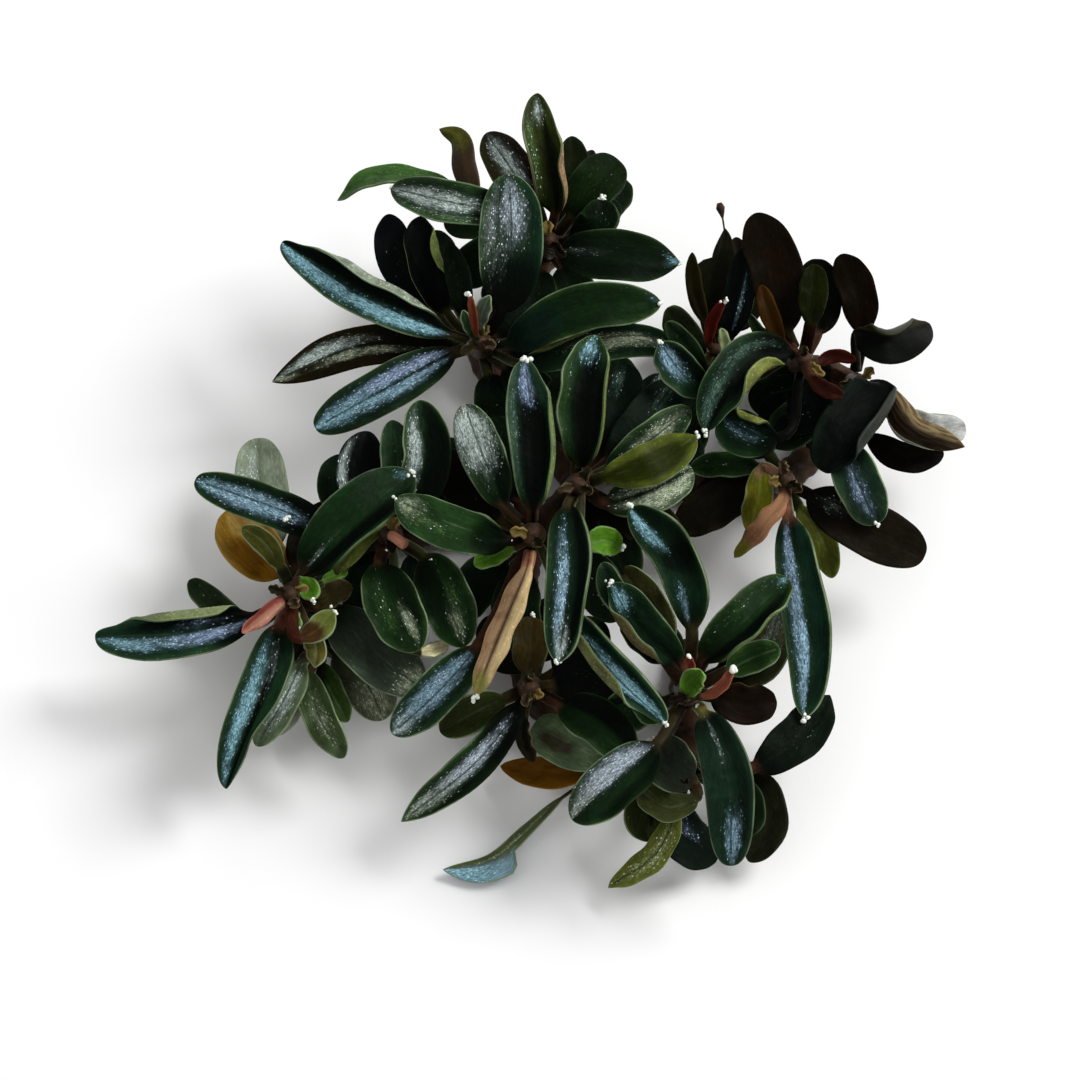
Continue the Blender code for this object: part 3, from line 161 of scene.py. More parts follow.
# Leaves from the hindmost to the foremost in the view
LEAVES = [
    # back of the northwest shoot
    *on("northwest",
        leaf("nw_standing", [(43.5, 31.0), (39.9, 26.3), (38.8, 21.4)], 4.2, 5, 2, left=10),
        fused("nw_rolled", [(45.0, 31.4), (43.2, 27.0), (42.0, 21.6)], 4.9, 6, 2, "olive_edge", left=50,
              right=145),
        fused("nw_narrow", [(46.6, 31.8), (45.9, 28.0), (44.8, 24.0)], 2.6, 6, 1)),
    # north shoot
    *on("north",
        fused("north_hook", [(47.8, 20.4), (46.4, 16.6), (45.6, 13.6), (43.9, 12.9)], 2.7, 8, 2, "brown",
              left=30, right=30, roll=160),
        fused("north_edge", [(57.5, 22.6), (60.2, 21.3), (61.9, 20.3)], 3.6, 2, 1),
        fused("north_stub", [(56.5, 21.5), (58.0, 18.2), (59.3, 15.0)], 2.4, 6, 1, "brown"),
        fused("north_back", [(56.2, 21.0), (57.3, 17.4), (57.2, 13.6)], 3.4, 7, 1, "brown"),
        leaf("north_droop", [(46.5, 19.6), (41.5, 17.9), (37.0, 17.8), (33.7, 20.1)], 3.5, 4, 4, "green",
             roll=45),
        leaf("north_right_back", [(57.0, 21.8), (59.2, 18.8), (61.9, 16.0)], 5.2, 6, 2, "green"),
        fused("north_right_curl", [(57.0, 24.0), (59.8, 22.4), (60.3, 19.9)], 4.4, 5, 1, right=60),
        leaf("north_left_back", [(53.8, 21.0), (51.6, 17.6), (48.6, 13.3)], 4.6, 7, 2, "sparkle"),
        leaf("north_left", [(51.0, 21.4), (45.4, 20.3), (39.1, 18.8)], 4.5, 4, 2, "silver"),
        leaf("north_tall", [(55.6, 21.5), (54.9, 15.6), (53.7, 9.3)], 4.9, 10, 2, "brown", left=70,
             right=120, roll=-8),
        leaf("north_right", [(55.9, 25.2), (61.0, 25.5), (68.0, 26.3)], 5.4, 1, 2)),
    # hindmost leaves of the middle shoot
    *on("middle",
        fused("middle_back_left", [(59.5, 45.8), (61.6, 41.4), (62.9, 36.4)], 4.8, 2, 1),
        fused("middle_back_right", [(60.6, 46.4), (64.4, 42.4), (67.6, 38.0)], 4.8, 1, 1),
        fused("middle_far_right", [(60.4, 47.2), (64.8, 44.2), (69.0, 40.8)], 3.8, 0, 1, "silver")),
    # northwest shoot
    *on("northwest",
        fused("nw_pale", [(48.0, 32.8), (48.3, 31.0), (49.0, 29.5)], 1.7, 4, 0, "pale"),
        fused("nw_bluish", [(47.3, 33.6), (46.7, 32.4), (46.3, 31.0)], 1.1, 3, 0, "blue"),
        leaf("nw_far_right", [(52.0, 36.2), (58.6, 34.1), (64.6, 33.6), (68.8, 35.0)], 4.9, 2, 2,
             "olive_edge", left=145, right=10),
        leaf("nw_right", [(50.6, 34.4), (57.5, 31.0), (66.1, 30.3)], 5.0, 3, 2, "green"),
        leaf("nw_low_left", [(45.4, 34.5), (36.0, 34.6), (27.2, 38.2)], 4.3, -2, 2, "bronze", left=-10,
             right=45),
        leaf("nw_down_left", [(45.6, 35.2), (39.2, 38.5), (31.5, 42.8)], 4.8, -3, 2, "violet", left=-15,
             right=-15),
        leaf("nw_left", [(45.6, 33.5), (36.9, 29.9), (28.2, 24.2)], 4.3, 1, 2, "blue_olive_edge", left=15,
             right=145),
        leaf("nw_up", [(50.1, 31.2), (51.1, 24.6), (50.9, 17.4)], 6.6, 8, 2, "silver", left=12, right=18),
        fused("nw_bud", [(47.7, 33.6), (47.3, 31.4), (47.0, 29.5)], 0.9, 5, 0, "red")),
    # small shoot of the northeast
    *on("northeast_small",
        fused("ne_small_back", [(73.2, 33.0), (74.0, 28.0), (73.6, 23.7)], 3.0, 6, 1, "brown"),
        fused("ne_small_ragged", [(71.6, 33.0), (71.4, 28.4), (72.5, 22.8)], 4.0, 6, 1, "brown"),
        fused("ne_small_shred", [(70.6, 32.5), (69.5, 29.2), (69.2, 25.2)], 1.8, 6, 1, "old"),
        fused("ne_small_right", [(72.5, 34.0), (73.8, 30.0), (74.8, 24.5)], 3.4, 6, 1, "blue"),
        fused("ne_small_left", [(70.3, 36.0), (68.4, 33.4), (66.7, 30.8)], 3.4, 2, 1, "brown"),
        fused("ne_small_strip", [(70.6, 37.4), (69.5, 35.8), (66.6, 32.2)], 2.4, 1, 1),
        fused("ne_small_low", [(70.8, 39.2), (68.7, 37.8), (66.0, 34.3)], 4.0, 3, 1, "blue"),
        fused("ne_small_bud", [(71.0, 34.6), (71.2, 32.2), (72.4, 30.0)], 1.3, 5, 0, "red"),
        fused("ne_small_sheath", [(72.3, 35.7), (72.5, 34.5), (72.1, 32.8)], 1.2, 3, 0, "pale")),
    # right side of the southeastern shoots
    *on("southeast",
        fused("se_back_right", [(71.5, 67.4), (75.6, 66.4), (78.0, 61.0)], 4.6, 1, 1, "brown"),
        fused("se_small_right", [(72.6, 67.2), (75.2, 65.8), (78.0, 64.8)], 3.2, 2, 1, "bright_green")),
    *on("southeast_low",
        fused("se_low_right", [(73.5, 77.0), (76.2, 79.2), (76.9, 82.8), (74.9, 86.2)], 3.8, -3, 1,
              "brown"),
        leaf("se_far_right", [(75.2, 76.8), (79.8, 73.8), (83.0, 69.5)], 4.7, 1, 2)),
    # back of the northeast shoots
    *on("northeast",
        fused("ne_back", [(81.6, 33.5), (82.2, 30.0), (81.3, 25.9)], 4.4, 1, 1),
        leaf("ne_tall", [(78.8, 33.4), (77.6, 27.0), (75.5, 21.3)], 5.6, 7, 2, "maroon"),
        fused("ne_orange", [(78.4, 34.6), (77.1, 31.8), (76.1, 28.5)], 2.0, 3, 1, "orange")),
    *on("northeast_low",
        leaf("ne_right_back", [(86.2, 33.5), (85.9, 29.8), (84.1, 25.4)], 4.0, 7, 2, "maroon")),
    *on("northeast",
        fused("ne_oval", [(81.0, 32.6), (81.3, 29.8), (81.5, 26.4)], 3.0, 5, 2, "olive")),
    *on("northeast_low",
        leaf("ne_far_right", [(85.6, 33.2), (88.5, 34.2), (93.0, 32.4)], 4.8, 3, 2, "olive_edge", left=122,
             right=10)),
    # east shoot
    *on("east",
        fused("east_olive", [(79.8, 50.6), (82.0, 53.6), (83.3, 57.8)], 3.0, -2, 1, "olive"),
        fused("east_left_back", [(76.6, 47.4), (73.0, 48.8), (69.2, 52.2)], 4.6, -1, 1, "brown"),
        fused("east_left", [(76.0, 46.9), (73.0, 46.4), (69.0, 46.8)], 2.8, 0, 1, "green"),
        leaf("east_right", [(80.8, 49.4), (86.0, 52.5), (92.5, 55.6)], 5.7, -2, 2, "maroon"),
        leaf("east_long", [(78.8, 51.4), (80.3, 59.6), (81.1, 66.0), (80.5, 71.7)], 5.0, -6, 3, "blue",
             left=60, right=15),
        fused("east_yellow", [(76.4, 46.8), (75.9, 49.6), (74.9, 53.4)], 3.0, -4, 1, "yellow"),
        fused("east_sheath", [(78.5, 49.4), (76.6, 52.0), (73.4, 55.8)], 2.2, -3, 1, "pink", left=-70,
              right=-70)),
    # front of the northeast shoots
    *on("northeast",
        fused("ne_red_right", [(81.6, 36.3), (83.3, 35.6), (85.6, 36.0)], 1.5, 0, 0, "red"),
        fused("ne_red_down", [(81.0, 37.6), (82.3, 38.8), (84.4, 39.6)], 1.7, -1, 0, "red")),
    *on("northeast_low",
        leaf("ne_black", [(83.0, 39.8), (80.0, 41.2), (75.8, 41.2)], 5.0, 0, 1),
        fused("ne_far_low", [(86.8, 43.4), (90.2, 45.7), (94.4, 45.3)], 3.2, -2, 1, "brown"),
        fused("ne_grey_tip", [(88.8, 41.2), (92.6, 43.1), (96.6, 42.8)], 3.8, 0, 1, "grey"),
        leaf("ne_ribbed", [(88.3, 38.9), (91.3, 42.7), (96.5, 44.7)], 3.0, 1, 1, "ribbed", left=-50,
             right=-50),
        leaf("ne_low_blue", [(84.2, 44.0), (85.7, 48.0), (87.7, 52.4)], 4.8, -3, 2, "violet"),
        leaf("ne_down", [(87.9, 38.3), (85.2, 42.3), (82.3, 47.2)], 6.2, -2, 2, "grey_edge", left=145,
             right=15)),
    *on("northeast",
        leaf("ne_curved_low", [(77.8, 43.6), (75.4, 43.3), (72.2, 41.5)], 5.6, 0, 1, "olive_edge", left=10,
             right=145),
        leaf("ne_curved", [(79.0, 35.4), (76.0, 35.6), (72.9, 38.8), (70.6, 43.1)], 5.8, 1, 3, "olive_edge",
             left=145, right=15)),
    # middle and centre shoots
    *on("middle",
        leaf("middle_up", [(58.2, 46.6), (58.3, 40.4), (59.6, 33.5)], 5.5, 6, 2, "green", left=45,
             right=120),
        leaf("middle_silver", [(60.4, 50.3), (64.2, 49.4), (69.2, 46.8)], 4.8, -3, 2, "silver"),
        leaf("middle_olive", [(60.2, 47.8), (64.4, 46.6), (69.7, 43.6)], 4.4, -1, 2, "olive_wet", left=-20,
             right=-20),
        fused("middle_bright", [(58.6, 54.2), (60.4, 54.1), (62.2, 54.6)], 3.0, -3, 1, "bright")),
    *on("centre",
        fused("centre_back", [(50.4, 52.2), (47.0, 48.8), (43.6, 45.2)], 5.0, 0, 1),
        leaf("centre_silver", [(50.6, 50.8), (48.8, 46.8), (46.4, 40.4)], 4.6, 3, 1, "silver")),
    # western shoots
    *on("west_middle",
        fused("wm_back_left", [(37.7, 51.5), (35.9, 48.2), (36.8, 43.1)], 4.6, 4, 1),
        fused("wm_back", [(39.1, 51.0), (39.8, 46.6), (39.2, 42.0)], 3.6, 5, 1, "green"),
        leaf("wm_back_right", [(40.6, 51.6), (42.6, 46.8), (42.0, 40.0)], 5.0, 5, 1, "silver", left=30)),
    *on("west",
        fused("west_left_back", [(25.0, 62.4), (21.8, 60.7), (18.9, 58.0)], 2.8, 0, 1, "green"),
        leaf("west_round", [(27.6, 55.0), (26.3, 49.5), (25.8, 43.8)], 5.4, 2, 1, "grey_green", left=5,
             right=5),
        leaf("west_old", [(28.4, 57.6), (25.3, 54.8), (22.7, 51.0)], 5.7, -1, 1, "old_orange", left=5,
             right=5),
        fused("west_small", [(28.2, 57.0), (26.6, 54.5), (24.2, 52.7)], 2.4, 0, 1, "olive")),
    *on("west_middle",
        leaf("wm_left", [(34.5, 53.2), (26.5, 50.4), (19.5, 48.0)], 4.1, 0, 2, "blue", left=-10, right=25)),
    *on("west",
        fused("west_olive", [(33.4, 57.2), (35.4, 54.4), (39.2, 50.6)], 2.8, 1, 2, "olive", left=-30,
              right=-30),
        leaf("west_left", [(25.6, 61.4), (17.4, 63.4), (9.5, 63.6)], 5.2, 0, 2, "blue_olive_edge", left=12,
             right=145)),
    *on("west_low",
        fused("west_low_grey", [(30.8, 65.4), (28.8, 69.2), (26.6, 73.7)], 4.6, -2, 1, "grey"),
        fused("west_low_right", [(33.6, 65.2), (36.6, 68.2), (38.4, 72.0)], 5.4, -2, 1, "grey_green"),
        fused("west_low_strip", [(32.0, 66.2), (33.0, 69.0), (34.8, 72.2)], 2.8, 0, 1, "light"),
        fused("west_low_down", [(31.0, 67.0), (31.8, 71.4), (34.4, 75.8)], 3.4, 0, 1, "light"),
        fused("west_low_light", [(30.4, 66.0), (28.6, 69.6), (25.6, 74.6)], 3.4, 0, 1, "light")),
    *on("west",
        leaf("west_right", [(33.0, 61.2), (37.2, 65.0), (42.4, 69.1)], 6.0, -1, 2),
        leaf("west_down", [(28.0, 62.4), (26.7, 68.0), (24.4, 74.0), (22.6, 78.9)], 5.2, -3, 3, "blue",
             left=40, right=10)),
    *on("west_middle",
        leaf("wm_down_right", [(42.2, 55.6), (44.6, 60.0), (46.4, 64.7)], 5.4, -2, 1, "green"),
        leaf("wm_down", [(38.0, 56.2), (39.2, 60.4), (41.8, 65.1)], 5.6, -2, 1, "green")),
    *on("west",
        fused("west_cup", [(31.6, 60.6), (33.2, 59.4), (35.2, 58.6)], 2.6, 0, 0, "olive"),
        leaf("west_up", [(30.3, 57.4), (34.6, 52.4), (41.3, 47.4)], 6.2, 3, 3, "green", left=20, right=75),
        fused("west_young", [(30.0, 58.2), (30.8, 58.8), (31.3, 60.0)], 2.3, 1, 0, "bright"),
        fused("west_young_left", [(29.3, 60.8), (29.5, 61.8), (29.9, 62.9)], 1.2, -1, 0, "bright"),
        fused("west_lobe_low", [(30.6, 62.8), (31.6, 64.8), (31.5, 66.8)], 2.2, -1, 0, "olive"),
        fused("west_lobe", [(30.0, 63.8), (31.4, 63.2), (33.4, 61.0)], 2.6, 1, 0, "olive")),
    # south shoot, with the leaves that hang over it
    *on("south_low",
        leaf("se_torn", [(56.5, 79.6), (52.7, 83.2), (49.1, 86.1), (44.3, 87.7)], 4.6, -5, 1, "torn"),
        fused("se_orange", [(60.0, 76.6), (55.8, 77.3), (50.0, 76.6)], 3.2, -3, 1, "old_orange", left=5,
              right=5),
        fused("se_light", [(60.4, 76.0), (57.0, 74.4), (53.3, 72.5)], 5.0, 0, 1, "light", left=5, right=5)),
    *on("south",
        fused("south_back_left", [(50.6, 69.8), (47.4, 71.3), (44.0, 73.2)], 3.8, -2, 1, "olive_dark"),
        fused("south_back", [(52.8, 67.4), (53.0, 65.0), (53.2, 61.6)], 3.8, 3, 1, "bronze"),
        fused("south_black", [(55.0, 68.6), (59.0, 67.6), (63.6, 69.0)], 5.6, 0, 1)),
    *on("centre",
        leaf("centre_down_left", [(47.8, 64.6), (44.0, 69.0), (39.2, 73.4)], 4.6, -8, 2, "blue")),
    *on("south",
        leaf("south_down_left", [(52.1, 70.4), (48.1, 75.7), (40.1, 82.2)], 3.8, -4, 3, "silver", left=15,
             right=35)),
    *on("centre",
        leaf("centre_rolled", [(52.8, 56.4), (50.4, 62.4), (47.4, 69.8)], 3.0, -6, 2, "tan", left=-75,
             right=-75),
        fused("centre_young", [(51.4, 54.6), (49.6, 55.4), (47.4, 56.5)], 2.2, -1, 0, "bright"),
        leaf("centre_left", [(50.8, 54.0), (45.2, 52.4), (39.6, 49.9)], 5.4, 0, 2, "green", left=15,
             right=110),
        leaf("centre_up", [(53.4, 51.2), (53.4, 44.0), (52.5, 35.9)], 5.3, 6, 2, "blue_olive_edge", left=40,
             right=145)),
    # southeastern shoots
    *on("southeast",
        fused("se_brown", [(71.0, 69.6), (74.2, 70.4), (77.7, 70.2)], 4.2, -1, 1, "brown", left=60),
        fused("se_behind", [(67.0, 65.8), (65.2, 61.4), (61.8, 56.6)], 4.2, 1, 1, "bronze"),
        fused("se_tiny", [(64.0, 62.4), (61.4, 59.4), (60.3, 56.2)], 2.8, 0, 1, "blue"),
        leaf("se_up", [(69.2, 63.2), (68.1, 56.6), (63.1, 50.7)], 4.9, 7, 3, "blue", left=25, right=65),
        leaf("se_up_right", [(70.2, 66.3), (74.4, 62.1), (78.8, 57.8)], 4.9, 3, 2, "green", left=18,
             right=85),
        leaf("se_up_left", [(67.9, 67.0), (64.0, 63.2), (61.0, 58.4)], 5.4, 2, 2, "olive_edge", left=130,
             right=25),
        fused("se_bud", [(70.1, 69.7), (72.0, 68.8), (73.3, 66.9)], 1.2, 3, 0, "red"),
        fused("se_bud_back", [(69.0, 68.0), (69.0, 66.8), (68.9, 65.6)], 1.1, 3, 0, "red"),
        fused("se_young", [(68.7, 69.5), (69.1, 68.4), (70.1, 67.0)], 2.4, 3, 0, "bright")),
    *on("southeast_low",
        fused("se_low_down", [(66.4, 79.2), (67.8, 83.0), (71.6, 86.2)], 5.0, -5, 1, "violet"),
        fused("se_low_olive", [(67.8, 80.4), (66.0, 84.8), (60.8, 88.8)], 2.8, -6, 2, "olive", left=-30,
              right=-30),
        fused("se_low_strip", [(69.6, 79.6), (67.4, 80.7), (63.6, 78.8)], 3.0, -1, 1, "olive", left=-30,
              right=-30),
        fused("se_low_round", [(69.2, 78.2), (67.3, 76.8), (65.1, 74.0)], 5.2, 1, 1, "grey_green")),
    *on("south",
        leaf("south_right", [(56.0, 70.4), (60.0, 72.4), (63.4, 75.8)], 4.8, 2, 2, "green")),
    *on("southeast",
        leaf("se_down_left", [(65.8, 74.4), (61.7, 78.0), (57.2, 82.0)], 5.4, -3, 2, "silver"),
        leaf("se_down", [(70.3, 71.2), (72.8, 77.8), (73.1, 86.6)], 4.9, -4, 3, "green", left=30,
             right=12)),
    # foremost leaves
    *on("centre",
        leaf("centre_down_right", [(56.8, 61.2), (61.0, 67.0), (66.6, 72.4)], 4.6, -5, 3, "blue_olive_edge",
             left=75, right=145)),
    *on("middle",
        leaf("middle_down", [(56.9, 50.6), (57.0, 58.0), (55.8, 66.2)], 4.8, -2, 4, "blue", left=80,
             right=20)),
]

# Leaves with a pointed tip, and with a broad one
POINTED = {
    "north_droop", "north_hook", "north_right", "nw_low_left", "nw_narrow", "nw_pale", "ne_small_ragged",
    "ne_small_shred", "ne_ribbed", "east_sheath", "east_yellow", "middle_olive", "centre_rolled",
    "south_down_left", "west_lobe", "west_lobe_low", "west_young", "se_far_right", "se_low_olive",
    "se_orange", "se_torn",
}
BROAD = {
    "east_right", "ne_low_blue", "ne_down", "ne_grey_tip", "north_right_back", "nw_left", "nw_down_left",
    "west_left", "west_round", "wm_left", "se_down", "se_light",
}

# Rolled margins: the shares of the blade where the roll begins and ends, how far out from the midrib
# the fold lies, and the width of the rolled half beside the other
ROLLS = {
    "nw_left": (0.04, 0.95, 0.4, 1.7),
    "nw_far_right": (0.0, 0.7, 0.3, 1.0),
    "nw_rolled": (0.2, 1.0, 0.3, 1.0),
    "north_tall": (0.0, 0.75, 0.35, 1.0),
    "ne_far_right": (0.06, 1.0, 0.25, 1.0),
    "ne_down": (0.0, 0.95, 0.4, 1.3),
    "ne_curved": (0.0, 0.85, 0.3, 1.2),
    "ne_curved_low": (0.1, 1.0, 0.35, 1.0),
    "middle_up": (0.0, 1.0, 0.55, 1.0),
    "centre_left": (0.0, 0.4, 0.5, 1.0),
    "centre_up": (0.0, 0.9, 0.5, 1.1),
    "west_left": (0.03, 0.9, 0.35, 1.5),
    "se_up_left": (0.08, 0.9, 0.25, 1.0),
    "centre_down_right": (0.0, 0.85, 0.25, 1.1),
}

# Torn or lopsided leaves: side of the midrib, the shares of the blade where the narrow part begins and
# ends, the share of the width that is left there, and the share of the blade over which it narrows
TEARS = {
    "se_torn": [(1.0, -0.1, 0.56, 0.22, 0.05), (-1.0, -0.1, 1.1, 0.34, 0.05)],
    "ne_small_ragged": [(1.0, 0.62, 1.1, 0.35, 0.05)],
    "west_down": [(1.0, 0.25, 1.5, 0.3, 0.45)],
}

# Creeping stems: each section runs under its shoots, between free ends or joints given as x, y
SECTIONS = {
    "rhizome_north": ["north", "northwest", (0.0, 17.5)],
    "rhizome_centre": [(0.2, 17.0), "middle", "centre", (-1.0, -2.0)],
    "rhizome_east": [(6.6, 13.0), "east", (29.0, 14.0)],
    "rhizome_northeast": [(29.6, 14.4), "northeast_low", "northeast", "northeast_small", (14.0, 27.4)],
    "rhizome_west": [(-2.5, 5.4), "west_middle", "west", "west_low", (-18.6, -8.6)],
    "rhizome_south": [(-1.1, -2.6), "south", "south_low", (11.2, -21.9)],
    "rhizome_southeast": [(11.8, -22.0), "southeast_low", "southeast", (16.4, -8.2)],
}


def unit(vectors):
    return vectors / np.linalg.norm(vectors, axis=-1, keepdims=True)


def placed(across, down, height):
    """Point at this height that is seen at this place of the slanted view."""
    on_plane = VIEW_TARGET + (across - VIEW_MIDDLE) * RIGHT + (VIEW_MIDDLE - down) * UP
    ray = on_plane - EYE
    return EYE + ray * (height - EYE[2]) / ray[2]


def seen(points):
    """Across, down and nearness to the viewer of points, in the slanted view."""
    offset = points - EYE
    depth = -offset @ BACK
    across = VIEW_MIDDLE + (offset @ RIGHT) * VIEW_DISTANCE / depth
    down = VIEW_MIDDLE - (offset @ UP) * VIEW_DISTANCE / depth
    return across, down, VIEW_DISTANCE - depth


def shoot_top(name):
    return placed(*SHOOTS[name])


def is_short(row):
    """Young leaves, buds and sheaths at the growing point."""
    shoot = SHOOTS[row.shoot]
    across, down = row.path[-1]
    return not row.own and math.hypot(across - shoot.across, down - shoot.down) < SHORT_LEAF


def levels():
    """Distance of each leaf base below the growing point: the foremost leaf is the uppermost."""
    depths = {}
    for name, shoot in SHOOTS.items():
        rows = [row for row in LEAVES if row.shoot == name]
        longer = [row for row in rows if not is_short(row)]
        room = (shoot.height - FOOT_ROOM) / math.sin(VIEW_ELEVATION) - FIRST_LEVEL
        step = min(LEVEL_STEP, room / max(1, len(longer)))
        for place, row in enumerate(reversed(longer)):
            depths[row.name] = FIRST_LEVEL + place * step
        for place, row in enumerate(reversed([row for row in rows if is_short(row)])):
            depths[row.name] = YOUNG_LEVEL + YOUNG_STEP * place
    return depths


def laying_order():
    """All leaves from the back, with the young ones of a shoot after its long ones."""
    order = []
    for place, row in enumerate(LEAVES):
        if is_short(row):
            continue
        order.append(row)
        if not any(later.shoot == row.shoot and not is_short(later) for later in LEAVES[place + 1:]):
            order += [young for young in LEAVES if young.shoot == row.shoot and is_short(young)]
    return order


def shoot_radius(level):
    return SHOOT_TIP_RADIUS + (SHOOT_RADIUS - SHOOT_TIP_RADIUS) * min(1.0, level / TAPER_LENGTH)


def midrib_points(row, level):
    """Corner points of the midrib, from the shoot to the tip, before it is lifted."""
    root = shoot_top(row.shoot) - BACK * level
    path = np.array(row.path)
    root_across, root_down, _ = seen(root)
    steps = np.vstack([[root_across, root_down], path])
    travelled = np.concatenate([[0.0], np.cumsum(np.linalg.norm(np.diff(steps, axis=0), axis=1))])
    share = travelled / travelled[-1]
    rises = root[2] + row.rise * share + 4 * row.arch * share * (1 - share)
    points = [placed(a, d, h) for (a, d), h in zip(path, rises[1:])]
    outward = points[0] - root
    outward = unit(outward - (outward @ BACK) * BACK)
    reach = shoot_radius(level)
    reach = reach + JOINT_GAP if row.own else FUSED_REACH * reach
    return np.vstack([root + outward * reach, points])


def smooth_curve(corners, shares):
    """Points at shares of the length of a smooth curve through the corners."""
    gaps = np.linalg.norm(np.diff(corners, axis=0), axis=1)
    knots = np.concatenate([[0.0], np.cumsum(gaps)]) / gaps.sum()
    slopes = np.gradient(corners, knots, axis=0)
    place = np.clip(np.searchsorted(knots, shares, side="right") - 1, 0, len(knots) - 2)
    span = (knots[place + 1] - knots[place])[:, None]
    t = ((shares - knots[place])[:, None]) / span
    p0, p1 = corners[place], corners[place + 1]
    m0, m1 = slopes[place] * span, slopes[place + 1] * span
    return ((2 * t**3 - 3 * t**2 + 1) * p0 + (t**3 - 2 * t**2 + t) * m0
            + (-2 * t**3 + 3 * t**2) * p1 + (t**3 - t**2) * m1)


def blade_start(corners):
    gaps = np.linalg.norm(np.diff(corners, axis=0), axis=1)
    return gaps[0] / gaps.sum()


def half_widths(row, shares, start):
    """Half width along the leaf: a slim petiole, then an oblong blade, and its pointed or blunt tip."""
    along = np.clip((shares - start) / (1 - start), 0, 1)
    tip_power = PLAIN_POWER
    if row.name in POINTED:
        tip_power = POINTED_POWER
    elif row.name in BROAD:
        tip_power = BROAD_POWER
    from_middle = np.abs(2 * along - 1)
    blade = 0.5 * row.width * (1 - from_middle ** 2.5) ** np.where(along < 0.5, 0.68, tip_power)
    petiole = 0.5 * min(PETIOLE_WIDTH, 0.6 * row.width)
    return np.maximum(blade, petiole * np.clip(1.5 * (1 - along) - 0.5, 0, 1)), along


def margin_turn(row, degrees, along, outward):
    """Turn of the surface along the blade and outward from the midrib, and the share of its width kept.

    A margin curls up evenly, or rolls over in a fold; where a roll fades out the blade is narrower.
    """
    if abs(degrees) <= ROLLED_MARGIN:
        lengthwise = np.sin(math.pi * np.clip(along, 0, 1)) ** 0.6
        return math.radians(degrees) * lengthwise[:, None] * outward[None, :] ** 1.3, np.ones(len(along))
    first, last, fold, wider = ROLLS[row.name]
    rise = np.clip((along - first) / ROLL_BEGINS_OVER, 0, 1)
    fall = np.clip((last - along) / ROLL_ENDS_OVER, 0, 1)
    lengthwise = (rise * rise * (3 - 2 * rise)) * (fall * fall * (3 - 2 * fall))
    folded = np.clip((outward - fold) / FOLD_WIDTH, 0, 1)
    folded = folded * folded * (3 - 2 * folded)
    flat_share = min(1.0, fold + 0.2)
    kept = flat_share + (wider - flat_share) * lengthwise
    return math.radians(degrees) * lengthwise[:, None] * folded[None, :], kept


def torn_share(row, sign, along):
    """Share of the width that is left on this side of the midrib of a torn or lopsided leaf."""
    share = np.ones(len(along))
    for side, first, last, remains, fade in TEARS.get(row.name, []):
        if side == sign:
            inside = np.clip((along - first) / fade, 0, 1) * np.clip((last - along) / fade, 0, 1)
            share *= 1 - (1 - remains) * inside
    return share


def leaf_surface(row, corners, lift, shares, across_places):
    """Middle surface, its normals and the thickness of a leaf, on a grid of shares and places across."""
    lifted = []
    for offset in (-SLOPE_STEP, 0.0, SLOPE_STEP):
        at = np.clip(shares + offset, 0, 1)
        rib = smooth_curve(corners, at)
        raise_by = lift[0] * np.sin(math.pi * at) + lift[1] * at**1.5
        lifted.append(rib + raise_by[:, None] * unit(EYE - rib))
    rib = lifted[1]
    forward = unit(lifted[2] - lifted[0])
    facing = unit(EYE - rib) + np.array([0.0, 0.0, UPWARD_FACING])
    normal = unit(facing - np.sum(facing * forward, axis=1, keepdims=True) * forward)
    side = np.cross(normal, forward)
    roll = math.radians(row.roll)
    side, normal = (side * math.cos(roll) + normal * math.sin(roll),
                    normal * math.cos(roll) - side * math.sin(roll))
    start = blade_start(corners)
    half, along = half_widths(row, shares, start)
    middle = np.empty((len(shares), len(across_places), 3))
    normals = np.empty_like(middle)
    steps = TURN_STEPS
    fine = np.linspace(0, 1, steps + 1)
    for sign, degrees in ((1.0, row.left), (-1.0, row.right)):
        turn, kept = margin_turn(row, degrees, along, fine)
        side_half = half * kept * torn_share(row, sign, along)
        mean_turn = 0.5 * (turn[:, 1:] + turn[:, :-1])
        zero = np.zeros((len(shares), 1))
        outward = np.hstack([zero, np.cumsum(np.cos(mean_turn), axis=1)]) / steps
        upward = np.hstack([zero, np.cumsum(np.sin(mean_turn), axis=1)]) / steps
        for j, place in enumerate(across_places):
            if place * sign < 0 or (place == 0 and sign < 0):
                continue
            low = min(int(abs(place) * steps), steps - 1)
            part = abs(place) * steps - low
            angle = ((1 - part) * turn[:, low] + part * turn[:, low + 1])[:, None]
            out = ((1 - part) * outward[:, low] + part * outward[:, low + 1]) * side_half * sign
            high = ((1 - part) * upward[:, low] + part * upward[:, low + 1]) * side_half
            middle[:, j] = rib + side * out[:, None] + normal * high[:, None]
            normals[:, j] = normal * np.cos(angle) - side * np.sin(angle) * sign
    petiole_share = np.clip(1.5 * (1 - along) - 0.5, 0, 1) ** 4
    thick = BLADE_THICKNESS + (PETIOLE_THICKNESS - BLADE_THICKNESS) * petiole_share
    thick = thick * np.clip((1 - along) * 8, 0, 1)
    rounding = np.sqrt(np.clip(1 - np.array(across_places) ** 2, 0, 1))
    return middle, normals, thick[:, None] * rounding[None, :]


SAMPLE_SHARES = np.linspace(0, 1, 64)
SAMPLE_ACROSS = np.linspace(-1, 1, 19)


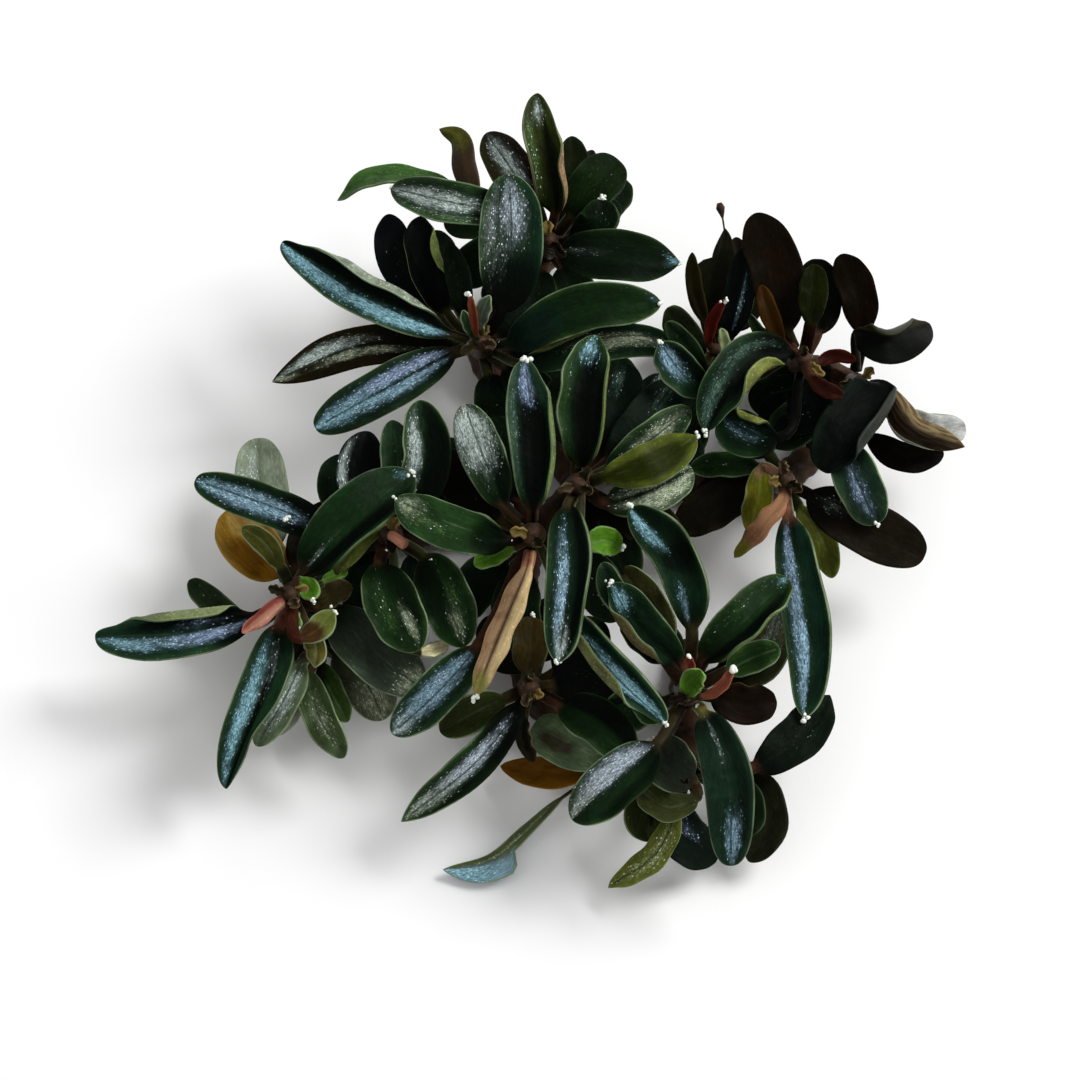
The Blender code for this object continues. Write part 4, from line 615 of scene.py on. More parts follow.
def settle(row, corners, nearest):
    """Least lift toward the viewer that carries a leaf clear of all that lies behind it."""
    lift = np.zeros(2)
    cells = nearest.shape[0]
    middle_weight = np.sin(math.pi * SAMPLE_SHARES)
    tip_weight = SAMPLE_SHARES**1.5
    for _ in range(SETTLE_ROUNDS):
        middle, normals, thick = leaf_surface(row, corners, lift, SAMPLE_SHARES, SAMPLE_ACROSS)
        need = np.zeros(len(SAMPLE_SHARES))
        for side in (1, -1):
            across, down, near = seen(middle + side * 0.5 * thick[..., None] * normals)
            column = np.clip((across / LAYER_CELL).astype(int), 0, cells - 1)
            line = np.clip((down / LAYER_CELL).astype(int), 0, cells - 1)
            need = np.maximum(need, (nearest[line, column] + LAYER_GAP - near).max(axis=1))
        across, down, _ = seen(middle[:, len(SAMPLE_ACROSS) // 2])
        shoot = SHOOTS[row.shoot]
        crowded = np.hypot(across - shoot.across, down - shoot.down) < CROWDED_RADIUS
        need = np.where(crowded, 0, need)
        if need.max() <= CLEAR_ENOUGH:
            break
        best = None
        for tip in np.arange(0, HIGHEST_LIFT, LIFT_STEP):
            rest = need - tip * tip_weight
            usable = (middle_weight > LEAST_WEIGHT) & (need > 0)
            blocked = (~usable) & (rest > CLEAR_ENOUGH) & (need > 0)
            if blocked.any():
                continue
            mid = max(0.0, (rest[usable] / middle_weight[usable]).max()) if usable.any() else 0.0
            cost = tip + MIDDLE_COST * mid
            if best is None or cost < best[0]:
                best = (cost, mid, tip)
        if best is None:
            break
        lift = np.minimum(lift + np.array(best[1:]), HIGHEST_LIFT)
    return lift


def stamp(nearest, points):
    """Records points as lying in front of what was there, with the cells beside them."""
    cells = nearest.shape[0]
    across, down, near = seen(points.reshape(-1, 3))
    column = (across / LAYER_CELL).astype(int)
    line = (down / LAYER_CELL).astype(int)
    for step_line in (-1, 0, 1):
        for step_column in (-1, 0, 1):
            np.maximum.at(nearest, (np.clip(line + step_line, 0, cells - 1),
                                    np.clip(column + step_column, 0, cells - 1)), near)


def arranged():
    """Corners and lift of the midrib of every leaf, laid one over the other from the back."""
    cells = int(2 * VIEW_MIDDLE / LAYER_CELL) + 1
    nearest = np.full((cells, cells), -1e3)
    depths = levels()
    laid = {}
    for row in laying_order():
        corners = midrib_points(row, depths[row.name])
        corners[:, 2] = np.maximum(corners[:, 2], LOWEST_RIB)
        lift = settle(row, corners, nearest)
        middle, normals, thick = leaf_surface(row, corners, lift, SAMPLE_SHARES, SAMPLE_ACROSS)
        for side in (1, -1):
            stamp(nearest, middle + side * 0.5 * thick[..., None] * normals)
        laid[row.name] = (corners, lift)
    return laid


def leaf_faces(rows, columns):
    """Faces of a closed leaf: upper grid, lower grid inside the rim, petiole end and tip point."""
    inner = columns - 2

    def upper(i, j):
        return i * columns + j

    def lower(i, j):
        if j == 0 or j == columns - 1:
            return upper(i, j)
        return rows * columns + i * inner + (j - 1)

    tip = rows * columns + rows * inner
    faces = []
    for i in range(rows - 1):
        for j in range(columns - 1):
            faces.append((upper(i, j), upper(i, j + 1), upper(i + 1, j + 1), upper(i + 1, j)))
            faces.append((lower(i, j), lower(i + 1, j), lower(i + 1, j + 1), lower(i, j + 1)))
    for j in range(columns - 1):
        faces.append((upper(rows - 1, j), upper(rows - 1, j + 1), tip))
        faces.append((lower(rows - 1, j + 1), lower(rows - 1, j), tip))
    back_across = [upper(0, j) for j in range(columns - 1, -1, -1)]
    across_below = [lower(0, j) for j in range(1, columns - 1)]
    faces.append(tuple(back_across + across_below))
    return faces


def section_line(stops):
    """Centre line of a creeping stem through its stops."""
    height = RHIZOME_RADIUS * math.cos(math.pi / 8)
    corners = []
    for stop in stops:
        if isinstance(stop, str):
            top = shoot_top(stop)
            foot = top - BACK * (top[2] - height) / BACK[2]
            corners.append(tuple(foot))
        else:
            corners.append((stop[0], stop[1], height))
    corners = np.array(corners)
    gaps = np.linalg.norm(np.diff(corners, axis=0), axis=1)
    knots = np.concatenate([[0.0], np.cumsum(gaps)]) / gaps.sum()
    between = 0.5 * (knots[1:] + knots[:-1])
    return smooth_curve(corners, np.sort(np.concatenate([knots, between])))


# Colours are given as display values from 0 to 255
def shade(red, green, blue):
    """Linear colour of a display colour."""
    linear = []
    for value in (red, green, blue):
        value = value / 255.0
        linear.append(value / 12.92 if value <= 0.04045 else ((value + 0.055) / 1.055) ** 2.4)
    return np.array(linear)


def shades(table):
    """Linear colours for a table of display colours."""
    return {name: shade(*colour) for name, colour in table.items()}


# Upper side, zone along the margins, underside
LOOKS = {tone: [shade(*colour) for colour in colours] for tone, colours in {
    "dark": [(11, 22, 11), (24, 43, 16), (70, 72, 42)],
    "green": [(16, 36, 14), (38, 66, 20), (88, 98, 46)],
    "bright_green": [(26, 52, 16), (60, 98, 34), (96, 120, 50)],
    "bright": [(58, 96, 10), (92, 140, 30), (120, 160, 50)],
    "light": [(54, 72, 36), (88, 108, 58), (112, 126, 70)],
    "grey_green": [(112, 122, 104), (132, 142, 118), (116, 124, 84)],
    "grey": [(80, 86, 76), (112, 118, 100), (146, 146, 134)],
    "grey_edge": [(8, 14, 12), (18, 40, 26), (84, 84, 74)],
    "silver": [(20, 38, 20), (44, 76, 30), (96, 102, 64)],
    "sparkle": [(22, 22, 18), (38, 48, 26), (82, 78, 44)],
    "blue": [(16, 36, 22), (36, 66, 30), (84, 92, 54)],
    "violet": [(20, 36, 26), (40, 66, 30), (82, 86, 56)],
    "bronze": [(36, 36, 16), (62, 66, 24), (104, 92, 50)],
    "brown": [(20, 17, 10), (36, 32, 16), (98, 76, 46)],
    "maroon": [(18, 10, 5), (20, 12, 7), (58, 42, 32)],
    "olive": [(76, 82, 22), (108, 118, 34), (120, 124, 46)],
    "olive_dark": [(38, 46, 18), (62, 74, 26), (90, 94, 40)],
    "olive_wet": [(50, 62, 6), (84, 104, 18), (112, 116, 34)],
    "olive_edge": [(14, 32, 18), (34, 62, 28), (104, 110, 48)],
    "blue_olive_edge": [(18, 42, 28), (40, 72, 38), (96, 106, 72)],
    "yellow": [(128, 136, 14), (172, 174, 36), (166, 160, 50)],
    "pale": [(116, 126, 84), (160, 170, 118), (160, 170, 118)],
    "orange": [(96, 58, 6), (120, 78, 18), (110, 66, 12)],
    "old": [(84, 70, 36), (106, 90, 50), (112, 92, 52)],
    "old_orange": [(128, 96, 30), (150, 122, 56), (140, 108, 50)],
    "ribbed": [(34, 26, 18), (62, 50, 34), (118, 98, 68)],
    "tan": [(186, 156, 118), (196, 170, 120), (190, 162, 124)],
    "pink": [(178, 132, 104), (190, 150, 116), (190, 146, 114)],
    "red": [(112, 30, 20), (140, 70, 44), (130, 50, 34)],
    "torn": [(60, 66, 28), (84, 92, 44), (104, 108, 52)],
}.items()}
# Tones whose leaves darken towards the stalk: painted shade where the leaves crowd at the shoot, and partly
# the darker colour of a young leaf base
SHADED_BASE_TONES = {"dark", "green", "silver", "blue", "violet", "sparkle", "olive_edge", "blue_olive_edge",
              "brown"}
PALE_MARGIN = shade(122, 138, 108)
PETIOLE = shade(56, 33, 24)
PETIOLE_GREEN = shade(40, 44, 22)

# Upper sides that differ from the rest of their tone. nw_standing and nw_rolled at the back of the
# northwest shoot, middle_back_left, middle_back_right and the dark northeast leaves ne_tall, ne_right_back,
# ne_back, ne_black, ne_far_low, ne_far_right and ne_down are darkened as painted shade, over their own dark
# green or maroon
COLOURS = shades({
    "nw_standing": (12, 16, 18), "nw_rolled": (6, 9, 8), "nw_narrow": (12, 20, 12), "nw_bud": (76, 36, 22),
    "se_bud": (92, 50, 36), "se_bud_back": (88, 40, 30), "se_back_right": (34, 38, 18),
    "se_orange": (92, 60, 6), "ne_small_right": (10, 17, 15), "north_tall": (38, 46, 10),
    "east_sheath": (128, 92, 66), "east_yellow": (84, 84, 4), "nw_pale": (62, 72, 58),
    "north_hook": (58, 42, 18), "north_droop": (46, 76, 32), "west_lobe": (80, 88, 34),
    "west_lobe_low": (66, 62, 22), "west_cup": (40, 34, 14), "west_small": (70, 72, 20),
    "west_olive": (70, 78, 26), "west_low_light": (70, 84, 60), "west_low_down": (42, 56, 28),
    "west_low_strip": (38, 58, 16), "west_low_grey": (112, 112, 104), "cream_tip": (220, 214, 168),
    "west_low_right": (62, 68, 50), "middle_back_left": (10, 20, 12), "middle_back_right": (12, 22, 14),
    "se_light": (74, 90, 62), "se_low_round": (36, 44, 34), "se_low_strip": (56, 62, 30),
    "se_low_down": (16, 24, 18), "north_right_back": (14, 28, 8), "north_left_back": (26, 22, 16),
    "nw_low_left": (24, 19, 6), "west_sheath": (150, 98, 84), "west_right": (38, 48, 36),
    "west_up": (16, 36, 16), "centre_left": (26, 52, 20), "se_far_right": (12, 20, 12),
    "ne_tall": (15, 8, 4), "ne_down": (8, 17, 11), "se_down": (20, 38, 26), "north_back": (22, 28, 12),
    "ne_small_ragged": (18, 19, 9), "ne_small_shred": (26, 24, 8), "ne_small_back": (24, 18, 10),
    "ne_small_left": (24, 30, 14), "ne_small_bud": (62, 15, 10), "ne_back": (5, 6, 4),
    "ne_oval": (15, 19, 2), "ne_orange": (40, 23, 1), "ne_red_right": (36, 7, 3),
    "ne_red_down": (32, 10, 5), "ne_right_back": (12, 6, 2), "ne_black": (4, 6, 7),
    "ne_far_low": (12, 9, 5), "ne_far_right": (10, 10, 4), "ne_grey_tip": (150, 152, 150),
    "east_left_back": (16, 12, 8), "east_right": (19, 15, 9), "centre_back": (10, 10, 7),
    "wm_back": (24, 46, 26), "wm_back_left": (10, 15, 14), "west_left_back": (28, 40, 20),
    "south_back": (42, 34, 12), "south_black": (7, 9, 8), "se_brown": (26, 17, 11),
    "se_low_right": (26, 28, 17), "se_torn": (74, 84, 50), "middle_olive": (62, 70, 14),
})

# Undersides that differ from the rest of their tone
UNDERSIDES = shades({
    "nw_left": (146, 158, 138), "north_hook": (50, 32, 8), "nw_far_right": (100, 108, 40),
    "nw_rolled": (120, 138, 66), "north_tall": (146, 118, 84), "ne_far_right": (34, 36, 16),
    "ne_down": (27, 33, 25), "ne_curved": (116, 124, 60), "ne_curved_low": (112, 118, 54),
    "centre_up": (96, 112, 64), "west_left": (118, 130, 88), "se_up_left": (100, 92, 54),
    # se_torn's pale blue underside is a painted highlight
    "centre_down_right": (92, 96, 54), "se_torn": (118, 150, 166),
})

# Leaf stalks that are not brown or green
STALKS = shades({
    "west_left": (120, 58, 48), "west_down": (116, 66, 52), "ne_orange": (62, 24, 14),
    "ne_oval": (22, 8, 5), "ne_right_back": (24, 9, 6), "ne_black": (14, 12, 10),
    "ne_curved_low": (14, 12, 10), "ne_low_blue": (12, 10, 9), "east_long": (112, 72, 56),
    "se_down": (92, 84, 44), "centre_rolled": (132, 84, 66),
})

# Colours of the painted sparkle highlights
GLINTS = shades({
    "cyan": (148, 196, 210), "blue": (148, 182, 202), "violet": (150, 168, 200), "lilac": (184, 196, 208),
    "silver": (204, 218, 212), "silver_green": (178, 188, 158), "grey": (104, 112, 104),
    "green": (84, 118, 62), "teal": (84, 112, 98), "yellow_green": (146, 154, 92),
})

# Zones of painted sparkle highlight on a leaf: place along and across the blade, half length, half width,
# colour, strength
PAINTED_SPARKLE = {
    "north_droop": [(0.35, -0.2, 0.35, 0.8, "green", 0.5)],
    "north_left": [(0.62, 0.05, 0.4, 0.5, "silver", 1.25), (0.5, 0.75, 0.5, 0.25, "green", 0.6)],
    "nw_up": [(0.72, -0.05, 0.28, 0.5, "lilac", 0.9), (0.6, 0.65, 0.4, 0.35, "grey", 0.8),
              (0.4, 0.3, 0.2, 0.3, "grey", 0.4)],
    "north_left_back": [(0.6, 0.0, 0.4, 0.5, "silver", 0.95)],
    "north_tall": [(0.85, 0.1, 0.13, 0.4, "silver", 0.7), (0.55, 0.7, 0.4, 0.25, "green", 0.6)],
    "north_right": [(0.95, 0.1, 0.09, 0.7, "cyan", 0.6), (0.2, 0.1, 0.25, 0.2, "grey", 0.6)],
    "nw_right": [(0.96, 0.3, 0.06, 0.5, "cyan", 0.4)],
    "nw_far_right": [(0.6, -0.15, 0.3, 0.4, "silver_green", 0.95)],
    "nw_left": [(0.25, 0.25, 0.36, 0.5, "cyan", 1.6), (0.8, 0.26, 0.36, 0.5, "cyan", 1.45)],
    "nw_low_left": [(0.74, -0.2, 0.26, 0.5, "silver", 1.35), (0.5, 0.3, 0.3, 0.16, "silver_green", 1.1),
                    (0.95, 0.1, 0.1, 0.6, "silver_green", 0.8)],
    "nw_down_left": [(0.4, -0.28, 0.42, 0.34, "violet", 1.3), (0.45, 0.24, 0.4, 0.3, "blue", 1.2),
                     (0.82, 0.0, 0.26, 0.5, "cyan", 1.35)],
    "ne_small_low": [(0.7, 0.1, 0.35, 0.5, "blue", 1.1)],
    "ne_small_right": [(0.4, -0.2, 0.3, 0.18, "blue", 0.8)],
    "ne_curved": [(0.8, -0.4, 0.3, 0.35, "teal", 0.9), (0.4, -0.5, 0.35, 0.25, "teal", 0.6)],
    "ne_curved_low": [(0.6, 0.15, 0.4, 0.35, "blue", 0.5)],
    "ne_low_blue": [(0.6, -0.05, 0.4, 0.4, "violet", 0.65)],
    "east_right": [(0.2, 0.1, 0.14, 0.4, "grey", 0.5)],
    "east_long": [(0.65, -0.26, 0.45, 0.4, "blue", 1.05), (0.25, -0.3, 0.25, 0.35, "violet", 0.7)],
    "se_up_right": [(0.95, 0.1, 0.08, 0.5, "cyan", 0.6), (0.5, 0.5, 0.5, 0.3, "green", 0.3)],
    "se_up": [(0.18, 0.3, 0.16, 0.28, "blue", 0.7), (0.84, 0.2, 0.22, 0.4, "cyan", 1.25)],
    "se_up_left": [(0.84, 0.0, 0.19, 0.45, "cyan", 0.95)],
    "se_down": [(0.84, 0.1, 0.18, 0.4, "blue", 1.0), (0.2, 0.0, 0.22, 0.1, "silver", 0.5)],
    "se_low_down": [(0.45, 0.2, 0.3, 0.4, "violet", 0.45)],
    "se_low_olive": [(0.5, 0.1, 0.5, 0.7, "yellow_green", 1.0)],
    "se_down_left": [(0.5, -0.35, 0.45, 0.5, "lilac", 1.35), (0.88, -0.2, 0.18, 0.6, "silver_green", 0.9)],
    "south_right": [],
    "centre_down_right": [(0.66, 0.08, 0.4, 0.32, "cyan", 1.35)],
    "centre_up": [(0.84, 0.1, 0.17, 0.36, "violet", 1.1), (0.55, 0.72, 0.4, 0.16, "teal", 0.6)],
    "middle_up": [(0.88, 0.15, 0.13, 0.5, "cyan", 0.9), (0.5, 0.7, 0.3, 0.15, "green", 0.4)],
    "middle_silver": [(0.6, 0.3, 0.5, 0.4, "silver_green", 1.0),
                      (0.6, -0.4, 0.5, 0.45, "silver_green", 1.2)],
    "middle_down": [(0.62, -0.25, 0.45, 0.34, "blue", 1.0), (0.92, 0.0, 0.12, 0.5, "silver", 1.0)],
    "middle_back_left": [(0.8, 0.3, 0.2, 0.5, "teal", 0.6)],
    "middle_back_right": [(0.75, 0.0, 0.2, 0.5, "teal", 0.6)],
    "middle_far_right": [(0.6, 0.0, 0.4, 0.6, "silver_green", 0.7)],
    "low_middle_right": [(0.9, 0.0, 0.15, 0.6, "silver", 0.7)],
    "centre_left": [(0.86, 0.0, 0.17, 0.7, "silver_green", 0.85), (0.6, 0.3, 0.3, 0.3, "green", 0.5)],
    "west_up": [(0.94, 0.3, 0.08, 0.5, "cyan", 0.5), (0.14, 0.0, 0.15, 0.12, "silver", 0.5)],
    "wm_left": [(0.62, 0.1, 0.32, 0.48, "blue", 1.9), (0.9, 0.0, 0.14, 0.5, "cyan", 1.0)],
    "west_round": [(0.6, 0.3, 0.6, 0.8, "silver", 0.45)],
    "se_back_right": [(0.7, 0.0, 0.4, 0.6, "grey", 0.6)],
    "west_left": [(0.35, 0.3, 0.32, 0.3, "violet", 1.15), (0.75, 0.36, 0.26, 0.3, "cyan", 1.15),
                  (0.35, -0.16, 0.2, 0.08, "violet", 0.6)],
    "west_down": [(0.6, -0.42, 0.5, 0.3, "cyan", 0.95), (0.25, 0.1, 0.25, 0.12, "silver", 0.7)],
    "west_right": [(0.93, -0.1, 0.15, 0.9, "silver_green", 1.1)],
    "wm_down": [(0.74, 0.25, 0.24, 0.25, "silver_green", 0.95), (0.5, -0.3, 0.4, 0.4, "green", 0.4)],
    "wm_down_right": [(0.78, 0.1, 0.22, 0.3, "silver_green", 0.85), (0.5, 0.3, 0.4, 0.4, "green", 0.4)],
    "wm_back_left": [(0.5, 0.75, 0.4, 0.25, "silver", 0.8)],
    "wm_back_right": [(0.55, 0.5, 0.45, 0.32, "silver", 0.95)],
    "centre_silver": [(0.7, 0.15, 0.34, 0.95, "silver", 1.3)],
    "south_down_left": [(0.55, -0.1, 0.34, 0.42, "lilac", 1.4), (0.82, 0.0, 0.2, 0.6, "silver_green", 1.1)],
    "centre_down_left": [(0.5, -0.15, 0.48, 0.5, "blue", 1.4), (0.9, 0.0, 0.14, 0.7, "silver", 1.0)],
    "west_low_grey": [(0.6, 0.0, 0.5, 0.7, "grey", 0.6)],
    "west_low_light": [(0.45, 0.1, 0.5, 0.5, "silver", 0.8)],
    "west_low_down": [(0.6, 0.0, 0.4, 0.6, "silver_green", 0.5)],
    "west_low_right": [(0.75, 0.0, 0.35, 0.8, "silver_green", 0.8)],
    "se_torn": [(0.85, 0.5, 0.24, 0.7, "cyan", 1.2), (0.5, -0.2, 0.5, 0.3, "silver_green", 0.6)],
}

# Painted sparkle highlight of the other leaves with a green upper side
SPARSE = {
    "dark": [(0.6, 0.0, 0.5, 0.8, "green", 0.12)],
    "green": [(0.6, 0.0, 0.5, 0.8, "green", 0.16)],
    "silver": [(0.6, 0.0, 0.5, 0.7, "silver_green", 0.6)],
}

# Patches painted on a leaf: place along and across, half length, half width, colour, strength. The
# near-black
# ones are painted shade: the trough under a rolled margin, the half of a folded blade turned from the
# light, the foot of a blade at the crowded shoot, and parts shaded by a neighbouring leaf. The others
# change a leaf's colour in places, and se_torn's pale blue one is a painted highlight
# near-black colour of the painted shade
PAINTED_SHADOW = shade(3, 5, 4)
SHADE_AND_COLOUR_PATCHES = {
    "north_left": [(0.0, 0.0, 0.32, 1.5, PAINTED_SHADOW, 0.9)],
    "north_left_back": [(0.2, -0.4, 0.3, 0.8, PAINTED_SHADOW, 0.8), (0.6, 0.8, 0.5, 0.35, shade(44, 44, 18), 0.8)],
    "north_tall": [(0.4, -0.1, 0.4, 0.32, PAINTED_SHADOW, 0.9)],
    "north_right": [(0.5, -0.6, 0.4, 0.3, PAINTED_SHADOW, 0.5)],
    "nw_left": [(0.55, -0.48, 0.75, 0.46, PAINTED_SHADOW, 0.97)],
    "nw_low_left": [(0.05, 0.0, 0.35, 1.5, shade(7, 6, 2), 0.9)],
    "nw_up": [(0.5, -0.85, 0.5, 0.25, shade(14, 40, 26), 0.8), (0.05, -0.2, 0.36, 1.5, PAINTED_SHADOW, 0.9)],
    "nw_right": [(0.1, 0.0, 0.3, 1.2, shade(12, 28, 26), 0.6)],
    "ne_curved": [(0.5, 0.12, 0.5, 0.3, PAINTED_SHADOW, 0.95), (0.05, 0.0, 0.25, 1.2, PAINTED_SHADOW, 0.9)],
    "ne_curved_low": [(0.1, 0.0, 0.25, 1.2, PAINTED_SHADOW, 0.6)],
    "ne_down": [(0.5, 0.1, 0.9, 0.85, PAINTED_SHADOW, 0.95)],
    "ne_far_right": [(0.5, 0.0, 1.0, 1.0, PAINTED_SHADOW, 0.8), (0.45, 0.75, 0.6, 0.5, shade(34, 34, 14), 0.9)],
    "ne_low_blue": [(0.0, 0.0, 0.35, 1.5, PAINTED_SHADOW, 0.8)],
    "ne_small_low": [(0.3, -0.6, 0.6, 0.4, PAINTED_SHADOW, 0.9)],
    "east_right": [(0.1, 0.0, 0.2, 1.5, PAINTED_SHADOW, 0.8)],
    "east_long": [(0.5, 0.6, 0.6, 0.3, shade(12, 36, 28), 0.6)],
    "se_up_right": [(0.42, -0.55, 0.45, 0.32, PAINTED_SHADOW, 0.95)],
    "se_up": [(0.5, -0.1, 0.1, 0.8, PAINTED_SHADOW, 0.8), (0.7, -0.5, 0.4, 0.35, PAINTED_SHADOW, 0.5)],
    "se_up_left": [(0.3, -0.2, 0.4, 0.2, PAINTED_SHADOW, 0.7)],
    "se_down_left": [(0.3, 0.8, 0.5, 0.3, PAINTED_SHADOW, 0.7)],
    "centre_down_right": [(0.4, 0.55, 0.5, 0.25, shade(8, 24, 16), 0.8),
                          (0.4, -0.3, 0.5, 0.14, PAINTED_SHADOW, 0.9)],
    "centre_up": [(0.36, 0.02, 0.5, 0.62, PAINTED_SHADOW, 0.97)],
    "middle_up": [(0.4, -0.15, 0.52, 0.62, PAINTED_SHADOW, 0.97)],
    "middle_down": [(0.45, 0.55, 0.6, 0.34, PAINTED_SHADOW, 0.9)],
    "middle_silver": [(0.6, 0.0, 0.5, 0.1, PAINTED_SHADOW, 0.5)],
    "centre_left": [(0.05, 0.0, 0.25, 1.2, PAINTED_SHADOW, 0.8)],
    "centre_silver": [(0.98, 0.6, 0.08, 0.5, shade(80, 66, 44), 0.8), (0.2, -0.6, 0.3, 0.5, PAINTED_SHADOW, 0.8)],
    "west_up": [(0.42, -0.55, 0.5, 0.28, PAINTED_SHADOW, 0.95)],
    "wm_left": [(0.1, -0.1, 0.34, 1.5, PAINTED_SHADOW, 0.95)],
    "west_left": [(0.35, -0.3, 0.45, 0.24, PAINTED_SHADOW, 0.9), (0.12, 0.0, 0.2, 1.2, PAINTED_SHADOW, 0.9)],
    "west_down": [(0.6, 0.12, 0.45, 0.24, PAINTED_SHADOW, 0.95), (0.6, 0.75, 0.5, 0.3, shade(16, 40, 20), 0.8)],
    "wm_down": [(0.3, 0.6, 0.5, 0.4, PAINTED_SHADOW, 0.6)],
    "wm_down_right": [(0.3, -0.4, 0.5, 0.5, PAINTED_SHADOW, 0.6)],
    "wm_back_left": [(0.5, -0.2, 0.5, 0.8, PAINTED_SHADOW, 0.9)],
    "wm_back_right": [(0.4, -0.5, 0.6, 0.6, PAINTED_SHADOW, 0.9)],
    "south_down_left": [(0.1, 0.1, 0.32, 1.5, PAINTED_SHADOW, 0.9), (0.45, 0.75, 0.4, 0.3, PAINTED_SHADOW, 0.8)],
    "centre_rolled": [(0.5, 0.55, 0.5, 0.4, shade(214, 190, 140), 0.9),
                      (0.4, -0.5, 0.4, 0.4, shade(170, 136, 104), 0.9),
                      (0.45, 0.04, 0.5, 0.14, shade(40, 20, 12), 0.95),
                      (0.97, 0.0, 0.16, 1.2, shade(112, 116, 50), 0.8)],
    "west_lobe": [(0.15, 0.0, 0.4, 1.2, shade(52, 22, 14), 0.9)],
    "se_down": [(0.5, 0.5, 0.5, 0.25, PAINTED_SHADOW, 0.5)],
    "se_light": [(0.6, 0.2, 0.25, 0.4, shade(36, 20, 16), 0.8)],
    "west_round": [(0.6, -0.05, 0.5, 0.07, shade(84, 94, 76), 0.7),
                   (0.1, 0.3, 0.35, 0.8, shade(104, 92, 72), 0.6)],
    "west_old": [(0.3, 0.3, 0.35, 0.6, shade(112, 72, 8), 0.7),
                 (0.8, -0.3, 0.3, 0.6, shade(150, 128, 74), 0.6)],
    "ne_ribbed": [(0.6, 0.8, 0.9, 0.7, shade(132, 116, 84), 0.9)],
    "middle_olive": [(0.45, -0.1, 0.5, 0.65, shade(24, 30, 1), 0.9)],
    "south_right": [(0.5, 0.55, 0.7, 0.5, PAINTED_SHADOW, 0.95)],
    "west_sheath": [(0.5, -0.5, 0.6, 0.3, shade(104, 36, 30), 0.8),
                    (0.4, 0.4, 0.5, 0.35, shade(186, 144, 122), 0.7)],
    # pale blue patch at the tip of se_torn: a painted highlight
    "se_torn": [(0.82, 0.6, 0.3, 0.6, shade(122, 154, 170), 0.9)],
    "east_sheath": [(0.9, 0.0, 0.15, 1.2, shade(110, 112, 40), 0.9)],
    "east_yellow": [(0.0, 0.0, 0.2, 1.2, shade(110, 78, 60), 0.8),
                    (0.5, 0.3, 0.4, 0.5, shade(112, 116, 10), 0.7)],
    "north_hook": [(0.95, 0.0, 0.34, 1.2, shade(72, 74, 10), 0.9)],
}

# Leaves turned over, so that the patches show on the underside
UNDERSIDE_PATCHES = {"north_hook"}

# Leaves that end in a grain of white mineral, and its size
GRAINS = {
    "north_right_curl": 0.5, "north_right": 0.35, "nw_right": 0.45, "nw_bud": 0.4, "ne_small_low": 0.35,
    "ne_small_bud": 0.4, "ne_curved": 0.45, "ne_low_blue": 0.4, "east_long": 0.45, "se_up": 0.45,
    "se_bud": 0.5, "se_low_round": 0.5, "south_right": 0.45, "centre_down_right": 0.35, "se_up_left": 0.4,
    "middle_bright": 0.4, "centre_up": 0.6, "middle_down": 0.4, "west_up": 0.5, "centre_rolled": 0.5,
    "west_lobe": 0.35, "south_back": 0.4, "west_young": 0.35, "se_bud_back": 0.35, "middle_olive": 0.35,
    "north_left": 0.25, "centre_left": 0.25, "west_young_left": 0.25,
}

# Grains that lie on a leaf: share of its length, place across, size
SPECKS = [
    ("wm_left", 0.45, 0.3, 0.42), ("wm_down", 0.06, 0.3, 0.25), ("wm_down_right", 0.3, 0.3, 0.14),
    ("centre_left", 0.12, 0.2, 0.2), ("se_down", 0.05, -0.2, 0.3), ("nw_right", 0.05, 0.3, 0.2),
]

# Grid of a leaf, and of one narrower than SMALL_WIDTH
LEAF_ROWS = 34
LEAF_COLUMNS = 17
PETIOLE_ROWS = 7
SMALL_WIDTH = 2.0
SMALL_ROWS = 16
SMALL_COLUMNS = 9

# Blade and the groove of its midrib
FINE_THICKNESS = 0.34
GROOVE_DEPTH = 0.14
GROOVE_WIDTH = 0.26

# Painting: margin zone, painted shade at the base, zones this far across that end at the midrib, and the
# distance from the midrib that is given to points off the blade
RIM_WIDTH = 0.8
RIM_STRENGTH = 0.7
BASE_SHADE = 0.75
MIDRIB_BORDER = 0.2
OFF_BLADE = 9.0


def number_of(name):
    """Whole number that stays the same for a name."""
    return zlib.crc32(name.encode())


def chance(name, places):
    """Numbers from 0 to 1 that stay the same for a name."""
    return np.random.default_rng(number_of(name)).random(places)


def smooth_step(low, high, value):
    t = np.clip((value - low) / (high - low), 0, 1)
    return t * t * (3 - 2 * t)


def blend(weight, first, second):
    weight = np.asarray(weight)[..., None]
    return first * (1 - weight) + second * weight


